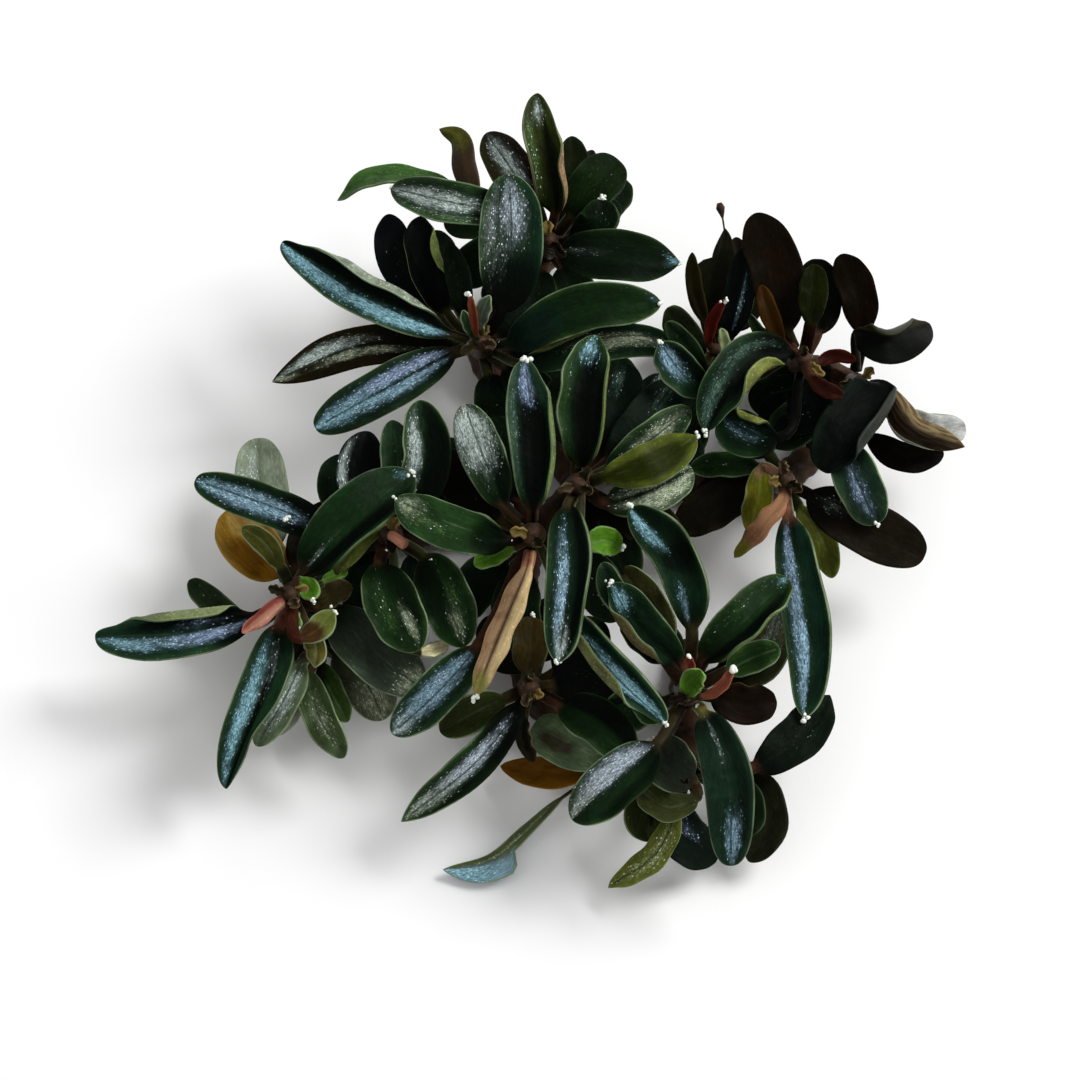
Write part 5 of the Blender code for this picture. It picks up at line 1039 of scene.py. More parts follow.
def fine_leaf(row, corners, lift):
    """Points, faces, underside faces and painted values of one leaf at full detail."""
    start = blade_start(corners)
    small = row.width < SMALL_WIDTH
    rows = SMALL_ROWS if small else LEAF_ROWS
    columns = SMALL_COLUMNS if small else LEAF_COLUMNS
    petiole = start * np.linspace(0, 1, PETIOLE_ROWS, endpoint=False)
    blade = start + (1 - start) * (0.5 - 0.5 * np.cos(np.linspace(0, math.pi, rows + 1)[:-1]))
    shares = np.concatenate([petiole, blade])
    places = np.sin(np.linspace(-0.5, 0.5, columns) * math.pi)
    middle, normals, _ = leaf_surface(row, corners, lift, shares, places)
    half, along = half_widths(row, shares, start)
    to_rib = half[:, None] * np.abs(places)[None, :]
    to_edge = half[:, None] * (1 - np.abs(places)[None, :])
    on_blade = smooth_step(0.0, 0.12, along) * smooth_step(1.0, 0.93, along)
    random = chance(row.name, 8)

    # groove of the midrib and a slight wave of the margins
    groove = GROOVE_DEPTH * np.exp(-(to_rib / GROOVE_WIDTH) ** 2) * on_blade[:, None]
    wave = np.zeros_like(to_rib)
    for sign, first in ((1, 0), (-1, 3)):
        count = 1.5 + 2 * random[first]
        ripple = np.sin(2 * math.pi * (count * along + random[first + 1]))
        reach = np.where(places * sign > 0, np.abs(places), 0) ** 2
        wave += (0.10 + 0.12 * random[first + 2]) * ripple[:, None] * reach[None, :]
    middle = middle + normals * (wave * on_blade[:, None] - groove)[..., None]

    stalk = np.clip(1.5 * (1 - along) - 0.5, 0, 1) ** 6
    body = FINE_THICKNESS + (PETIOLE_THICKNESS - FINE_THICKNESS) * stalk
    body = body * smooth_step(1.02, 0.94, along)
    fall = np.clip(to_edge / (0.16 + 0.5 * stalk[:, None]), 0, 1)
    thick = body[:, None] * np.sqrt(fall * (2 - fall))
    top = middle + 0.5 * thick[..., None] * normals
    bottom = middle - 0.5 * thick[..., None] * normals
    tip, _, _ = leaf_surface(row, corners, lift, np.array([1.0]), [0.0])
    points = np.vstack([top.reshape(-1, 3), bottom[:, 1:-1].reshape(-1, 3), tip.reshape(-1, 3)])
    faces = leaf_faces(len(shares), len(places))

    # painted colours, painted shade and painted highlights
    upper, rim, under = LOOKS[row.tone]
    under = UNDERSIDES.get(row.name, under)
    if row.name in COLOURS:
        upper = COLOURS[row.name]
        rim = 1.6 * upper
    colour = blend(np.clip(1 - to_edge / RIM_WIDTH, 0, 1) ** 1.5 * RIM_STRENGTH, upper, rim)
    mottle = 0.85 + 0.3 * random[6]
    colour = colour * mottle
    # painted shade towards the stalk, partly the darker colour of a young leaf base
    if row.tone in SHADED_BASE_TONES:
        colour = colour * (1 - BASE_SHADE * smooth_step(0.34, 0.02, along))[:, None, None]
    stem = smooth_step(0.10, 0.0, along)[:, None] * np.ones_like(to_rib)
    stem_colour = STALKS.get(row.name, blend(random[7], PETIOLE, PETIOLE_GREEN))
    colour = blend(stem, colour, stem_colour)
    below = blend(stem, np.broadcast_to(under, colour.shape), stem_colour)
    glint = np.zeros(to_rib.shape + (4,))

    def away(place, across, long, wide):
        """Squared distance from a place on the blade, in half lengths and half widths of a zone."""
        return ((along[:, None] - place) / long) ** 2 + ((places[None, :] - across) / wide) ** 2

    # zones of painted sparkle highlight, written into the glint layer
    for place, across, long, wide, name, strength in PAINTED_SPARKLE.get(row.name, SPARSE.get(row.tone, [])):
        offset = away(place, across, long, wide)
        weight = strength * np.exp(-1.2 * offset) * smooth_step(0.0, 0.12, along)[:, None]
        if abs(across) >= MIDRIB_BORDER:
            weight = weight * smooth_step(-0.04, 0.06, places * np.sign(across))[None, :]
        share = weight / np.maximum(weight + glint[..., 3], 1e-6)
        glint[..., :3] = blend(share, glint[..., :3], GLINTS[name])
        glint[..., 3] = np.maximum(glint[..., 3], weight)
    # patches: the near-black ones paint shade, the others a leaf's own colour or a painted highlight
    for place, across, long, wide, patch, strength in SHADE_AND_COLOUR_PATCHES.get(row.name, []):
        weight = strength * smooth_step(1.5, 0.5, away(place, across, long, wide))
        colour = blend(weight, colour, patch)
        if row.name in UNDERSIDE_PATCHES:
            below = blend(weight, below, patch)
    length = np.linalg.norm(np.diff(corners, axis=0), axis=1).sum()
    where = np.empty(to_rib.shape + (3,))
    where[..., 0] = (shares * length)[:, None]
    where[..., 1] = half[:, None] * places[None, :]
    where[..., 2] = 37.0 * random[5]

    def all_points(upper_values, lower_values, last):
        return np.vstack([upper_values.reshape(-1, upper_values.shape[-1]),
                          lower_values[:, 1:-1].reshape(-1, lower_values.shape[-1]), [last]])

    rib = to_rib[..., None] + OFF_BLADE * (1 - on_blade[:, None, None])
    values = {
        "paint": all_points(colour, below, colour[-1, 0]),
        "glint": all_points(glint, glint * 0, glint[-1, 0]),
        "where": all_points(where, where, where[-1, len(places) // 2]),
        "edge": all_points(to_edge[..., None], to_edge[..., None], [0.0]),
        "rib": all_points(rib, rib, [OFF_BLADE]),
    }
    # faces come by turns from the upper and the lower side, and the last one closes the stalk
    underside = [index % 2 for index in range(len(faces) - 1)] + [0]
    return points, faces, underside, values


# Kind and value of each painted layer
LAYERS = {
    "where": ("FLOAT_VECTOR", "vector"),
    "paint": ("FLOAT_COLOR", "color"),
    "glint": ("FLOAT_COLOR", "color"),
    "edge": ("FLOAT", "value"),
    "rib": ("FLOAT", "value"),
}


def write_mesh(name, points, faces, values, materials, slots=None):
    """Object in metres from points in millimetres, with painted values and its materials."""
    mesh = bpy.data.meshes.new(name)
    mesh.from_pydata([tuple(p) for p in (points - CENTRE) * METRES], [], faces)
    for key, data in values.items():
        kind, value = LAYERS[key]
        if key == "paint":
            data = np.hstack([data, np.ones((len(data), 1))])
        mesh.attributes.new(key, kind, "POINT").data.foreach_set(value, data.astype(np.float32).ravel())
    for material in materials:
        mesh.materials.append(material)
    mesh.polygons.foreach_set("material_index", slots or [0] * len(faces))
    mesh.shade_smooth()
    work = bmesh.new()
    work.from_mesh(mesh)
    bmesh.ops.recalc_face_normals(work, faces=work.faces)
    if work.calc_volume(signed=True) < 0:
        bmesh.ops.reverse_faces(work, faces=work.faces)
    work.to_mesh(mesh)
    work.free()
    made = bpy.data.objects.new(name, mesh)
    bpy.context.scene.collection.objects.link(made)
    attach(made, "root")
    return made


class Shader:
    """Short ways to add nodes to one material."""

    def __init__(self, name):
        self.material = bpy.data.materials.new(name)
        self.material.use_nodes = True
        self.tree = self.material.node_tree
        self.surface = self.tree.nodes["Principled BSDF"]

    def add(self, kind, **inputs):
        made = self.tree.nodes.new(kind)
        for key, value in inputs.items():
            self.give(made, key.replace("_", " "), value)
        return made

    def give(self, made, key, value):
        socket = made.inputs[key]
        if isinstance(value, bpy.types.NodeSocket):
            self.tree.links.new(value, socket)
        else:
            socket.default_value = value

    def finish(self, **inputs):
        """Sets inputs of the surface and gives its material."""
        for key, value in inputs.items():
            self.give(self.surface, key.replace("_", " "), value)
        return self.material

    def math(self, operation, first, second):
        made = self.tree.nodes.new("ShaderNodeMath")
        made.operation = operation
        self.give(made, 0, first)
        self.give(made, 1, second)
        return made.outputs[0]

    def times(self, first, second):
        return self.math("MULTIPLY", first, second)

    def plus(self, first, second):
        return self.math("ADD", first, second)

    def minus(self, first, second):
        return self.math("SUBTRACT", first, second)

    def step(self, low, high, value):
        """Smooth rise from 0 at low to 1 at high."""
        made = self.tree.nodes.new("ShaderNodeMapRange")
        made.interpolation_type = "SMOOTHSTEP"
        self.give(made, "Value", value)
        self.give(made, "From Min", low)
        self.give(made, "From Max", high)
        return made.outputs[0]

    def mix(self, factor, first, second, kind="MIX"):
        made = self.tree.nodes.new("ShaderNodeMix")
        made.data_type = "RGBA"
        made.blend_type = kind
        for socket, value in ((made.inputs[0], factor), (made.inputs[6], first), (made.inputs[7], second)):
            if isinstance(value, bpy.types.NodeSocket):
                self.tree.links.new(value, socket)
            elif hasattr(value, "__len__"):
                socket.default_value = (*[float(v) for v in value[:3]], 1.0)
            else:
                socket.default_value = value
        return made.outputs[2]

    def tinted(self, colour, factors):
        return self.mix(1.0, colour, factors, "MULTIPLY")

    def split(self, colour):
        return self.add("ShaderNodeSeparateColor", Color=colour).outputs

    def attribute(self, name):
        made = self.tree.nodes.new("ShaderNodeAttribute")
        made.attribute_name = name
        return made

    def noise(self, vector, scale, detail=2.0, rough=0.5):
        return self.add("ShaderNodeTexNoise", Vector=vector, Scale=scale, Detail=detail,
                        Roughness=rough).outputs["Fac"]

    def cells(self, vector):
        return self.add("ShaderNodeTexVoronoi", Vector=vector, Scale=1.0).outputs

    def stretched(self, vector, x, y):
        return self.add("ShaderNodeMapping", Vector=vector, Scale=(x, y, 1.0)).outputs[0]

    def bump(self, height, strength, distance, normal=None):
        made = self.add("ShaderNodeBump", Height=height, Strength=strength, Distance=distance)
        if normal is not None:
            self.give(made, "Normal", normal)
        return made.outputs[0]


def leaf_top_material():
    """Leathery upper side: painted colour, a painted sparkle highlight of cells that glisten one by one,
    midrib and margin.
    """
    s = Shader("leaf_top")
    paint = s.attribute("paint").outputs["Color"]
    glint = s.attribute("glint")
    strength = glint.outputs["Alpha"]
    where = s.attribute("where").outputs["Vector"]
    edge = s.attribute("edge").outputs["Fac"]
    rib = s.attribute("rib").outputs["Fac"]
    broad = s.noise(where, 0.35, 3.0)
    colour = s.mix(s.times(s.step(0.65, 0.35, broad), 0.4), paint, (0.002, 0.003, 0.002))
    veins = s.noise(s.stretched(where, 1.3, 5.0), 1.0, 4.0, 0.65)
    colour = s.mix(s.times(s.step(0.48, 0.68, veins), 0.55), colour, s.tinted(colour, (1.9, 1.8, 1.6)))
    colour = s.mix(s.times(s.step(0.46, 0.3, veins), 0.5), colour, s.tinted(colour, (0.45, 0.5, 0.5)))
    light = s.step(0.010, 0.045, s.split(paint)[1])
    # cells longer than wide, and finer ones between them, which with a sheen paint the sparkle highlight
    # into the colour
    drift = s.noise(s.stretched(where, 0.7, 1.7), 1.0, 3.0)
    streaks = s.noise(s.stretched(where, 2.4, 8.5), 1.0, 2.0, 0.6)
    cells = s.cells(s.stretched(where, 2.1, 5.8))
    fine = s.cells(s.stretched(where, 3.6, 9.6))
    pick = s.split(cells["Color"])
    pick_fine = s.split(fine["Color"])
    dense = s.times(strength, s.plus(0.7, s.times(s.step(0.3, 0.7, drift), 0.6)))
    dim = s.tinted(glint.outputs["Color"], (0.15, 0.18, 0.18))
    full = s.tinted(glint.outputs["Color"], (0.95, 0.95, 0.95))
    sheen = s.times(s.step(0.1, 1.15, dense), 0.9)
    colour = s.mix(sheen, colour, s.mix(s.step(0.3, 0.72, streaks), dim, full))
    lit = s.step(0.0, 0.3, s.minus(s.times(dense, 0.8), pick[0]))
    lit_fine = s.step(0.0, 0.25, s.minus(dense, pick_fine[0]))
    dot = s.times(s.step(0.6, 0.15, cells["Distance"]), lit)
    dot_fine = s.times(s.step(0.55, 0.15, fine["Distance"]), lit_fine)
    colour = s.mix(s.times(dot, 0.75), colour, s.mix(pick[1], dim, full))
    bright = s.tinted(glint.outputs["Color"], (1.6, 1.6, 1.55))
    colour = s.mix(s.times(dot_fine, 0.8), colour, s.mix(pick_fine[1], dim, bright))
    spot = s.times(s.step(0.84, 0.94, pick_fine[2]), dot_fine)
    colour = s.mix(s.times(spot, 0.8), colour, (0.80, 0.90, 0.95))
    # single painted glints, most of them near the margins
    lone = s.times(s.step(0.94, 0.98, pick_fine[0]), s.step(0.4, 0.15, fine["Distance"]))
    near_edge = s.step(1.5, 0.2, edge)
    lone = s.times(lone, s.plus(s.times(near_edge, 0.5), 0.1))
    colour = s.mix(s.times(lone, light), colour, (0.26, 0.34, 0.16))
    # midrib: pale on the plain leaves; through the painted highlight its groove gets near-black painted
    # shade
    line = s.step(0.16, 0.05, rib)
    plain = s.times(s.times(s.step(0.25, 0.05, strength), s.step(0.42, 0.62, broad)), light)
    colour = s.mix(s.times(s.times(line, plain), 0.35), colour, shade(104, 122, 92))
    groove = s.times(line, s.step(0.1, 0.5, strength))
    colour = s.mix(s.times(groove, 0.7), colour, (0.003, 0.010, 0.006))
    # pale margin
    rim = s.times(s.step(0.15, 0.06, edge), s.plus(0.35, s.times(s.step(0.38, 0.6, broad), 0.6)))
    colour = s.mix(s.times(rim, light), colour, PALE_MARGIN)
    relief = s.times(cells["Distance"], s.minus(-0.25, strength))
    swell = s.bump(s.noise(where, 0.9, 2.0), 0.35, 0.0004)
    return s.finish(Base_Color=colour, Roughness=s.plus(0.40, s.times(drift, 0.14)),
                    Normal=s.bump(relief, 0.5, 0.00005, swell),
                    Specular_IOR_Level=s.plus(0.015, s.times(light, 0.06)))


def old_top_material(name, contrast, relief):
    """Dry, rolled or ageing upper side: lengthwise lines this strong, and brown mottling."""
    s = Shader(name)
    paint = s.attribute("paint").outputs["Color"]
    where = s.attribute("where").outputs["Vector"]
    edge = s.attribute("edge").outputs["Fac"]
    broad = s.noise(where, 0.7, 4.0)
    lines = s.noise(s.stretched(where, 0.45, 3.6), 1.0, 2.0, 0.5)
    glistening = s.cells(s.stretched(where, 3.0, 6.5))
    colour = s.mix(s.times(s.step(0.5, 0.72, broad), 0.5), paint, s.tinted(paint, (0.50, 0.42, 0.34)))
    colour = s.mix(s.times(s.step(0.58, 0.40, lines), contrast), colour,
                   s.tinted(colour, (0.36, 0.30, 0.26)))
    # glistening points: small painted highlights
    pick = s.split(glistening["Color"])
    point = s.times(s.step(0.7, 0.95, pick[0]), s.step(0.5, 0.15, glistening["Distance"]))
    colour = s.mix(s.times(point, 0.45), colour, s.tinted(colour, (2.2, 2.2, 2.0)))
    colour = s.mix(s.times(s.step(0.12, 0.05, edge), 0.7), colour, s.tinted(paint, (1.6, 1.6, 1.5)))
    return s.finish(Base_Color=colour, Roughness=0.45, Specular_IOR_Level=0.03,
                    Normal=s.bump(lines, relief, 0.0001))


def leaf_under_material():
    """Paler underside with fine lengthwise lines."""
    s = Shader("leaf_under")
    paint = s.attribute("paint").outputs["Color"]
    where = s.attribute("where").outputs["Vector"]
    edge = s.attribute("edge").outputs["Fac"]
    rib = s.attribute("rib").outputs["Fac"]
    broad = s.noise(where, 0.5, 3.0)
    fine = s.noise(s.stretched(where, 2.2, 9.0), 1.0, 3.0, 0.6)
    dots = s.cells(s.stretched(where, 5.0, 6.0))
    dark = s.mix(0.55, paint, (0.01, 0.01, 0.005))
    colour = s.mix(s.step(0.3, 0.7, broad), dark, paint)
    colour = s.mix(s.times(s.step(0.55, 0.35, fine), 0.6), colour, s.tinted(colour, (0.45, 0.45, 0.40)))
    # bright dots: painted glints on the underside
    pick = s.split(dots["Color"])
    point = s.times(s.step(0.6, 0.9, pick[0]), s.step(0.55, 0.2, dots["Distance"]))
    colour = s.mix(s.times(point, 0.7), colour, s.tinted(paint, (1.9, 1.9, 1.8)))
    colour = s.mix(s.times(s.step(0.3, 0.1, rib), 0.4), colour, s.tinted(colour, (1.5, 1.5, 1.3)))
    colour = s.mix(s.times(s.step(0.13, 0.07, edge), 0.6), colour, s.tinted(paint, (1.3, 1.3, 1.2)))
    height = s.plus(fine, s.times(dots["Distance"], -0.5))
    return s.finish(Base_Color=colour, Roughness=0.5, Specular_IOR_Level=0.15,
                    Normal=s.bump(height, 0.4, 0.00005))


def stem_material():
    """Rhizome and shoots: pinkish brown skin with green and tan patches."""
    s = Shader("stem_skin")
    where = s.attribute("where").outputs["Vector"]
    broad = s.noise(where, 0.55, 3.0)
    fine = s.noise(s.stretched(where, 1.2, 5.0), 1.0, 4.0, 0.6)
    colour = s.mix(s.step(0.35, 0.65, broad), shade(34, 24, 17), shade(68, 44, 32))
    colour = s.mix(s.times(s.step(0.45, 0.7, fine), 0.6), colour, shade(58, 54, 32))
    colour = s.mix(s.times(s.step(0.62, 0.8, fine), 0.5), colour, shade(26, 18, 14))
    return s.finish(Base_Color=colour, Roughness=0.5, Specular_IOR_Level=0.1,
                    Normal=s.bump(fine, 0.5, 0.00012))


def grain_material():
    """White mineral with a rough, mottled surface."""
    s = Shader("mineral_grain")
    where = s.attribute("where").outputs["Vector"]
    fine = s.noise(where, 5.0, 2.0)
    colour = s.mix(s.step(0.35, 0.6, fine), shade(196, 206, 190), shade(246, 248, 240))
    return s.finish(Base_Color=colour, Roughness=0.55, Normal=s.bump(fine, 0.6, 0.0001))


LEAF_TOP = leaf_top_material()
LEAF_UNDER = leaf_under_material()
LEAF_OLD = old_top_material("leaf_old", 0.3, 0.25)
LEAF_RIBBED = old_top_material("leaf_ribbed", 0.9, 0.7)
OLD_TONES = {"old", "old_orange", "tan", "pink", "red", "orange"}
STEM = stem_material()
GRAIN = grain_material()


def ringed_tube(line, radii, sides, name):
    """Tube closed by flat caps at its ends, and its painted place values."""
    line = np.array(line, dtype=float)
    forward = unit(np.gradient(line, axis=0))
    reference = np.array([0.0, 0.0, 1.0]) if abs(forward[0][2]) < 0.8 else np.array([0.0, 1.0, 0.0])
    travelled = np.concatenate([[0.0], np.cumsum(np.linalg.norm(np.diff(line, axis=0), axis=1))])
    seed = 50 * chance(name, 1)[0]
    points = []
    where = []
    for point, direction, radius, far in zip(line, forward, radii, travelled):
        across = unit(np.cross(direction, reference))
        over = np.cross(across, direction)
        for k in range(sides):
            angle = 2 * math.pi * k / sides
            points.append(point + radius * (math.sin(angle) * across + math.cos(angle) * over))
            where.append((far, math.sin(angle) * 1.5, math.cos(angle) * 1.5 + seed))
    faces = []
    for i in range(len(line) - 1):
        for k in range(sides):
            n = (k + 1) % sides
            faces.append((i * sides + k, i * sides + n, (i + 1) * sides + n, (i + 1) * sides + k))
    faces.append(tuple(range(sides - 1, -1, -1)))
    last = (len(line) - 1) * sides
    faces.append(tuple(range(last, last + sides)))
    return np.array(points), faces, np.array(where)


def joined(pieces):
    """One set of points and faces from several."""
    points = []
    faces = []
    where = []
    shift = 0
    for some_points, some_faces, some_where in pieces:
        points.append(some_points)
        where.append(some_where)
        faces += [tuple(i + shift for i in face) for face in some_faces]
        shift += len(some_points)
    return np.vstack(points), faces, np.vstack(where)


def grain_cluster(centre, size, name):
    """A few rounded grains stuck together."""
    random = np.random.default_rng(number_of(name))
    pieces = []
    for _ in range(5):
        work = bmesh.new()
        bmesh.ops.create_icosphere(work, subdivisions=2, radius=1.0)
        points = np.array([list(v.co) for v in work.verts])
        faces = [tuple(v.index for v in f.verts) for f in work.faces]
        work.free()
        offset = random.normal(0, 0.38, 3) * size
        stretch = size * random.uniform(0.35, 0.62) * random.uniform(0.8, 1.2, 3)
        points = points * (1 + random.normal(0, 0.06, (len(points), 1))) * stretch + centre + offset
        pieces.append((points, faces, points.copy()))
    return pieces


def hidden(name, shoot, path, width, depth, tone="dark", rise=0, arch=1, left=22, right=22):
    """Older leaf low on a shoot, its base this far below the growing point."""
    return depth, on(shoot, fused(name, path, width, rise, arch, tone, left, right))[0]


# Older and smaller leaves low in the clump, seen between the others. The dark ones also stand for the deep
# shade inside the clump, put low in the gaps where the floor would show
LOW_LEAVES = [
    hidden("low_north_left", "north", [(51.6, 24.8), (48.4, 26.0), (45.6, 28.2)], 5.0, 12),
    hidden("low_north_down", "north", [(52.8, 26.6), (50.6, 28.6), (49.4, 31.4)], 4.6, 13),
    hidden("low_north_right", "north", [(57.8, 22.2), (60.4, 20.4), (62.2, 17.6)], 4.6, 13),
    hidden("low_north_far_left", "north", [(51.4, 21.8), (48.0, 21.6), (44.4, 22.6)], 4.8, 12),
    hidden("low_northwest_up", "northwest", [(46.0, 31.0), (44.0, 27.0), (43.6, 23.0)], 4.6, 12),
    hidden("low_northwest_right", "northwest", [(50.4, 36.6), (53.6, 39.6), (54.6, 42.6)], 4.6, 12),
    hidden("low_northwest_down", "northwest", [(48.8, 37.4), (49.6, 41.0), (49.4, 44.6)], 4.4, 13),
    hidden("low_middle_right", "middle", [(61.0, 46.2), (64.6, 41.6), (66.6, 37.4)], 5.0, 12),
    hidden("low_middle_far", "middle", [(61.2, 47.4), (66.0, 45.8), (70.4, 44.6)], 5.0, 12),
    hidden("low_middle_up", "middle", [(57.6, 45.0), (56.6, 41.4), (56.6, 37.4)], 4.8, 12),
    hidden("low_middle_down", "middle", [(60.8, 50.2), (64.6, 52.2), (68.0, 55.4)], 5.2, 12, "brown"),
    hidden("low_centre_up", "centre", [(52.0, 50.4), (50.4, 46.0), (49.8, 41.6)], 5.0, 12),
    hidden("low_centre_left", "centre", [(49.8, 51.8), (46.2, 48.0), (44.6, 43.8)], 5.2, 12),
    hidden("low_centre_back", "centre", [(49.6, 52.8), (45.6, 51.0), (42.0, 48.6)], 5.0, 13),
    hidden("low_centre_down", "centre", [(52.4, 57.0), (51.6, 61.0), (52.6, 65.4)], 5.0, 12),
    hidden("low_centre_right", "centre", [(56.4, 55.0), (59.6, 58.2), (61.6, 62.2)], 5.0, 12),
    hidden("low_south_up", "south", [(55.4, 67.4), (58.0, 64.6), (60.4, 62.2)], 4.8, 7),
    hidden("low_south_back", "south", [(53.8, 66.2), (55.0, 62.8), (55.8, 59.8)], 4.8, 7.5),
    hidden("low_south_right", "south", [(56.2, 69.6), (60.2, 70.2), (64.4, 71.4)], 5.0, 7),
    hidden("low_west_right", "west", [(31.8, 61.2), (35.4, 63.4), (39.0, 66.6)], 4.8, 8),
    hidden("low_west_up", "west", [(29.6, 57.0), (31.4, 53.6), (34.6, 50.6)], 4.8, 8, "brown"),
    hidden("low_west_middle", "west_middle", [(41.6, 52.4), (44.6, 49.6), (47.6, 47.6)], 5.0, 9),
    hidden("low_west_middle_left", "west_middle", [(36.0, 52.4), (34.0, 49.0), (34.4, 45.4)], 4.6, 9),
    hidden("low_east_left", "east", [(75.6, 48.4), (71.4, 50.6), (67.6, 53.0)], 4.8, 8, "brown"),
    hidden("low_east_up", "east", [(77.0, 45.6), (74.4, 43.4), (71.6, 42.6)], 4.8, 8),
    hidden("low_northeast_left", "northeast_low", [(83.2, 39.6), (79.8, 42.2), (76.8, 44.4)], 5.0, 8),
    hidden("low_northeast_back", "northeast_low", [(83.4, 37.4), (79.6, 38.6), (76.0, 39.6)], 4.8, 9),
    hidden("low_northeast_small", "northeast_small", [(70.6, 38.0), (69.0, 41.8), (69.0, 46.0)], 4.6, 9),
    hidden("low_northeast_small_up", "northeast_small", [(72.8, 33.2), (74.8, 30.2), (75.8, 26.6)], 4.0, 9,
           "brown"),
    hidden("low_southeast_up", "southeast", [(67.8, 66.4), (65.0, 63.4), (62.6, 61.0)], 4.8, 9),
    hidden("low_southeast_left", "southeast", [(66.6, 70.2), (63.4, 70.8), (60.2, 73.0)], 4.6, 9, "green"),
    hidden("low_southeast_down", "southeast_low", [(66.2, 78.6), (64.6, 81.2), (65.0, 84.2)], 4.4, 5,
           "olive_dark"),
    hidden("low_southeast_right", "southeast_low", [(70.8, 78.0), (74.0, 80.0), (75.2, 83.6)], 4.4, 5),
    hidden("low_middle_below", "middle", [(59.6, 49.8), (61.4, 53.8), (63.2, 58.4)], 4.8, 13),
    hidden("low_middle_below_left", "middle", [(58.4, 50.0), (57.8, 53.2), (58.4, 57.4)], 4.4, 13),
    hidden("low_centre_below", "centre", [(50.6, 55.8), (47.6, 58.6), (45.4, 62.2)], 4.8, 12),
    hidden("low_northeast_fill", "northeast_low", [(82.6, 39.4), (78.6, 39.8), (74.8, 39.6)], 5.0, 9.5),
    hidden("low_north_below", "north", [(56.2, 26.6), (57.4, 28.8), (58.8, 31.2)], 4.4, 14),
    hidden("low_north_below_left", "north", [(54.2, 27.0), (53.6, 29.8), (54.0, 32.8)], 4.4, 13.5),
    hidden("low_northwest_fill", "northwest", [(49.4, 33.8), (52.0, 31.4), (54.6, 29.6)], 4.2, 11),
    hidden("low_middle_top", "middle", [(60.2, 45.6), (61.8, 40.8), (62.0, 35.6)], 4.8, 12.5),
    hidden("low_northwest_far", "northwest", [(50.6, 35.4), (54.8, 36.4), (59.2, 36.8)], 4.6, 13),
    hidden("low_west_below", "west", [(30.4, 62.0), (30.2, 65.4), (31.6, 68.8)], 4.2, 8, "brown"),
    hidden("low_west_middle_down", "west_middle", [(38.4, 55.4), (36.4, 58.4), (35.2, 61.4)], 4.4, 9),
    hidden("low_west_middle_right", "west_middle", [(41.2, 55.2), (42.2, 58.8), (42.2, 62.4)], 4.4, 9),
    hidden("low_south_left", "south", [(52.8, 67.4), (50.2, 64.8), (49.2, 61.4)], 4.4, 7.5, "brown"),
    hidden("cream_tip", "west_middle", [(42.0, 65.2), (43.4, 65.0), (44.8, 64.4)], 1.6, 6.5, "pale"),
    hidden("strip_northeast", "northeast", [(78.6, 33.8), (76.4, 33.4), (74.8, 31.4)], 1.2, 5, "green"),
    hidden("strip_south", "southeast", [(66.8, 71.6), (65.4, 71.8), (63.4, 70.2)], 1.8, 4, "green"),
    hidden("curl_south", "south", [(52.4, 71.6), (52.4, 74.0), (53.4, 76.2)], 1.6, 3, "brown", -2, 0, 80,
           10),
    hidden("west_sheath", "west", [(29.6, 59.2), (27.2, 60.9), (24.2, 63.3)], 1.6, 1.0, "pink", 0, 0.4, -60,
           -60),
    hidden("young_west_down", "west", [(32.2, 58.4), (33.6, 57.4), (34.8, 57.2)], 1.4, 2, "bright"),
]


# Tones of the papery scales, and the share of a turn from one to the next
SCALE_TONES = ["old", "brown", "ribbed", "brown", "old", "maroon"]
SCALE_TURN = 0.382


def sheaths():
    """Short papery scales round every growing point."""
    rows = []
    for shoot, place in SHOOTS.items():
        random = chance(shoot + "_scales", 14)
        count = 2 + int(2 * random[0])
        for k in range(count):
            angle = 2 * math.pi * (random[1] + k * SCALE_TURN)
            x, y = math.cos(angle), math.sin(angle)
            length = 1.3 + 1.2 * random[2 + k]
            width = 0.9 + 0.4 * random[7 + k]
            depth = 0.8 + 0.35 * k
            tone = SCALE_TONES[(k + int(6 * random[12])) % 6]
            path = [(place.across + x * far, place.down + y * far) for far in (0.5, 0.6 * length, length)]
            name = "%s_scale_%d" % (shoot, k)
            rows.append(hidden(name, shoot, path, width, depth, tone, 1.5, 0.4, 70, 70))
    return rows


laid = arranged()
tops = {}
pieces = [(row, laid[row.name]) for row in LEAVES]
for depth, row in LOW_LEAVES + sheaths():
    corners = midrib_points(row, depth)
    corners[:, 2] = np.maximum(corners[:, 2], LOWEST_HIDDEN_RIB)
    pieces.append((row, (corners, np.zeros(2))))
for row, placing in pieces:
    points, faces, underside, values = fine_leaf(row, *placing)
    name = row.name if not row.own else row.name + "_leaf"
    upper_material = LEAF_OLD if row.tone in OLD_TONES else LEAF_TOP
    if row.tone == "ribbed":
        upper_material = LEAF_RIBBED
    piece = write_mesh(name, points, faces, values, [upper_material, LEAF_UNDER], underside)
    if row.own:
        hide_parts(row.name)
    tops[row.name] = points[-1]

grains = []
laid_by_name = {row.name: (row, placing) for row, placing in pieces}
for name, share, across, size in SPECKS:
    row, (corners, lift) = laid_by_name[name]
    middle, normals, _ = leaf_surface(row, corners, lift, np.array([share]), [across])
    grains += grain_cluster(middle[0, 0] + 0.3 * normals[0, 0], size, name + "_speck")
for name, size in GRAINS.items():
    grains += grain_cluster(tops[name], size, name)
points, faces, where = joined(grains)
write_mesh("mineral_grains", points, faces, {"where": where}, [GRAIN])

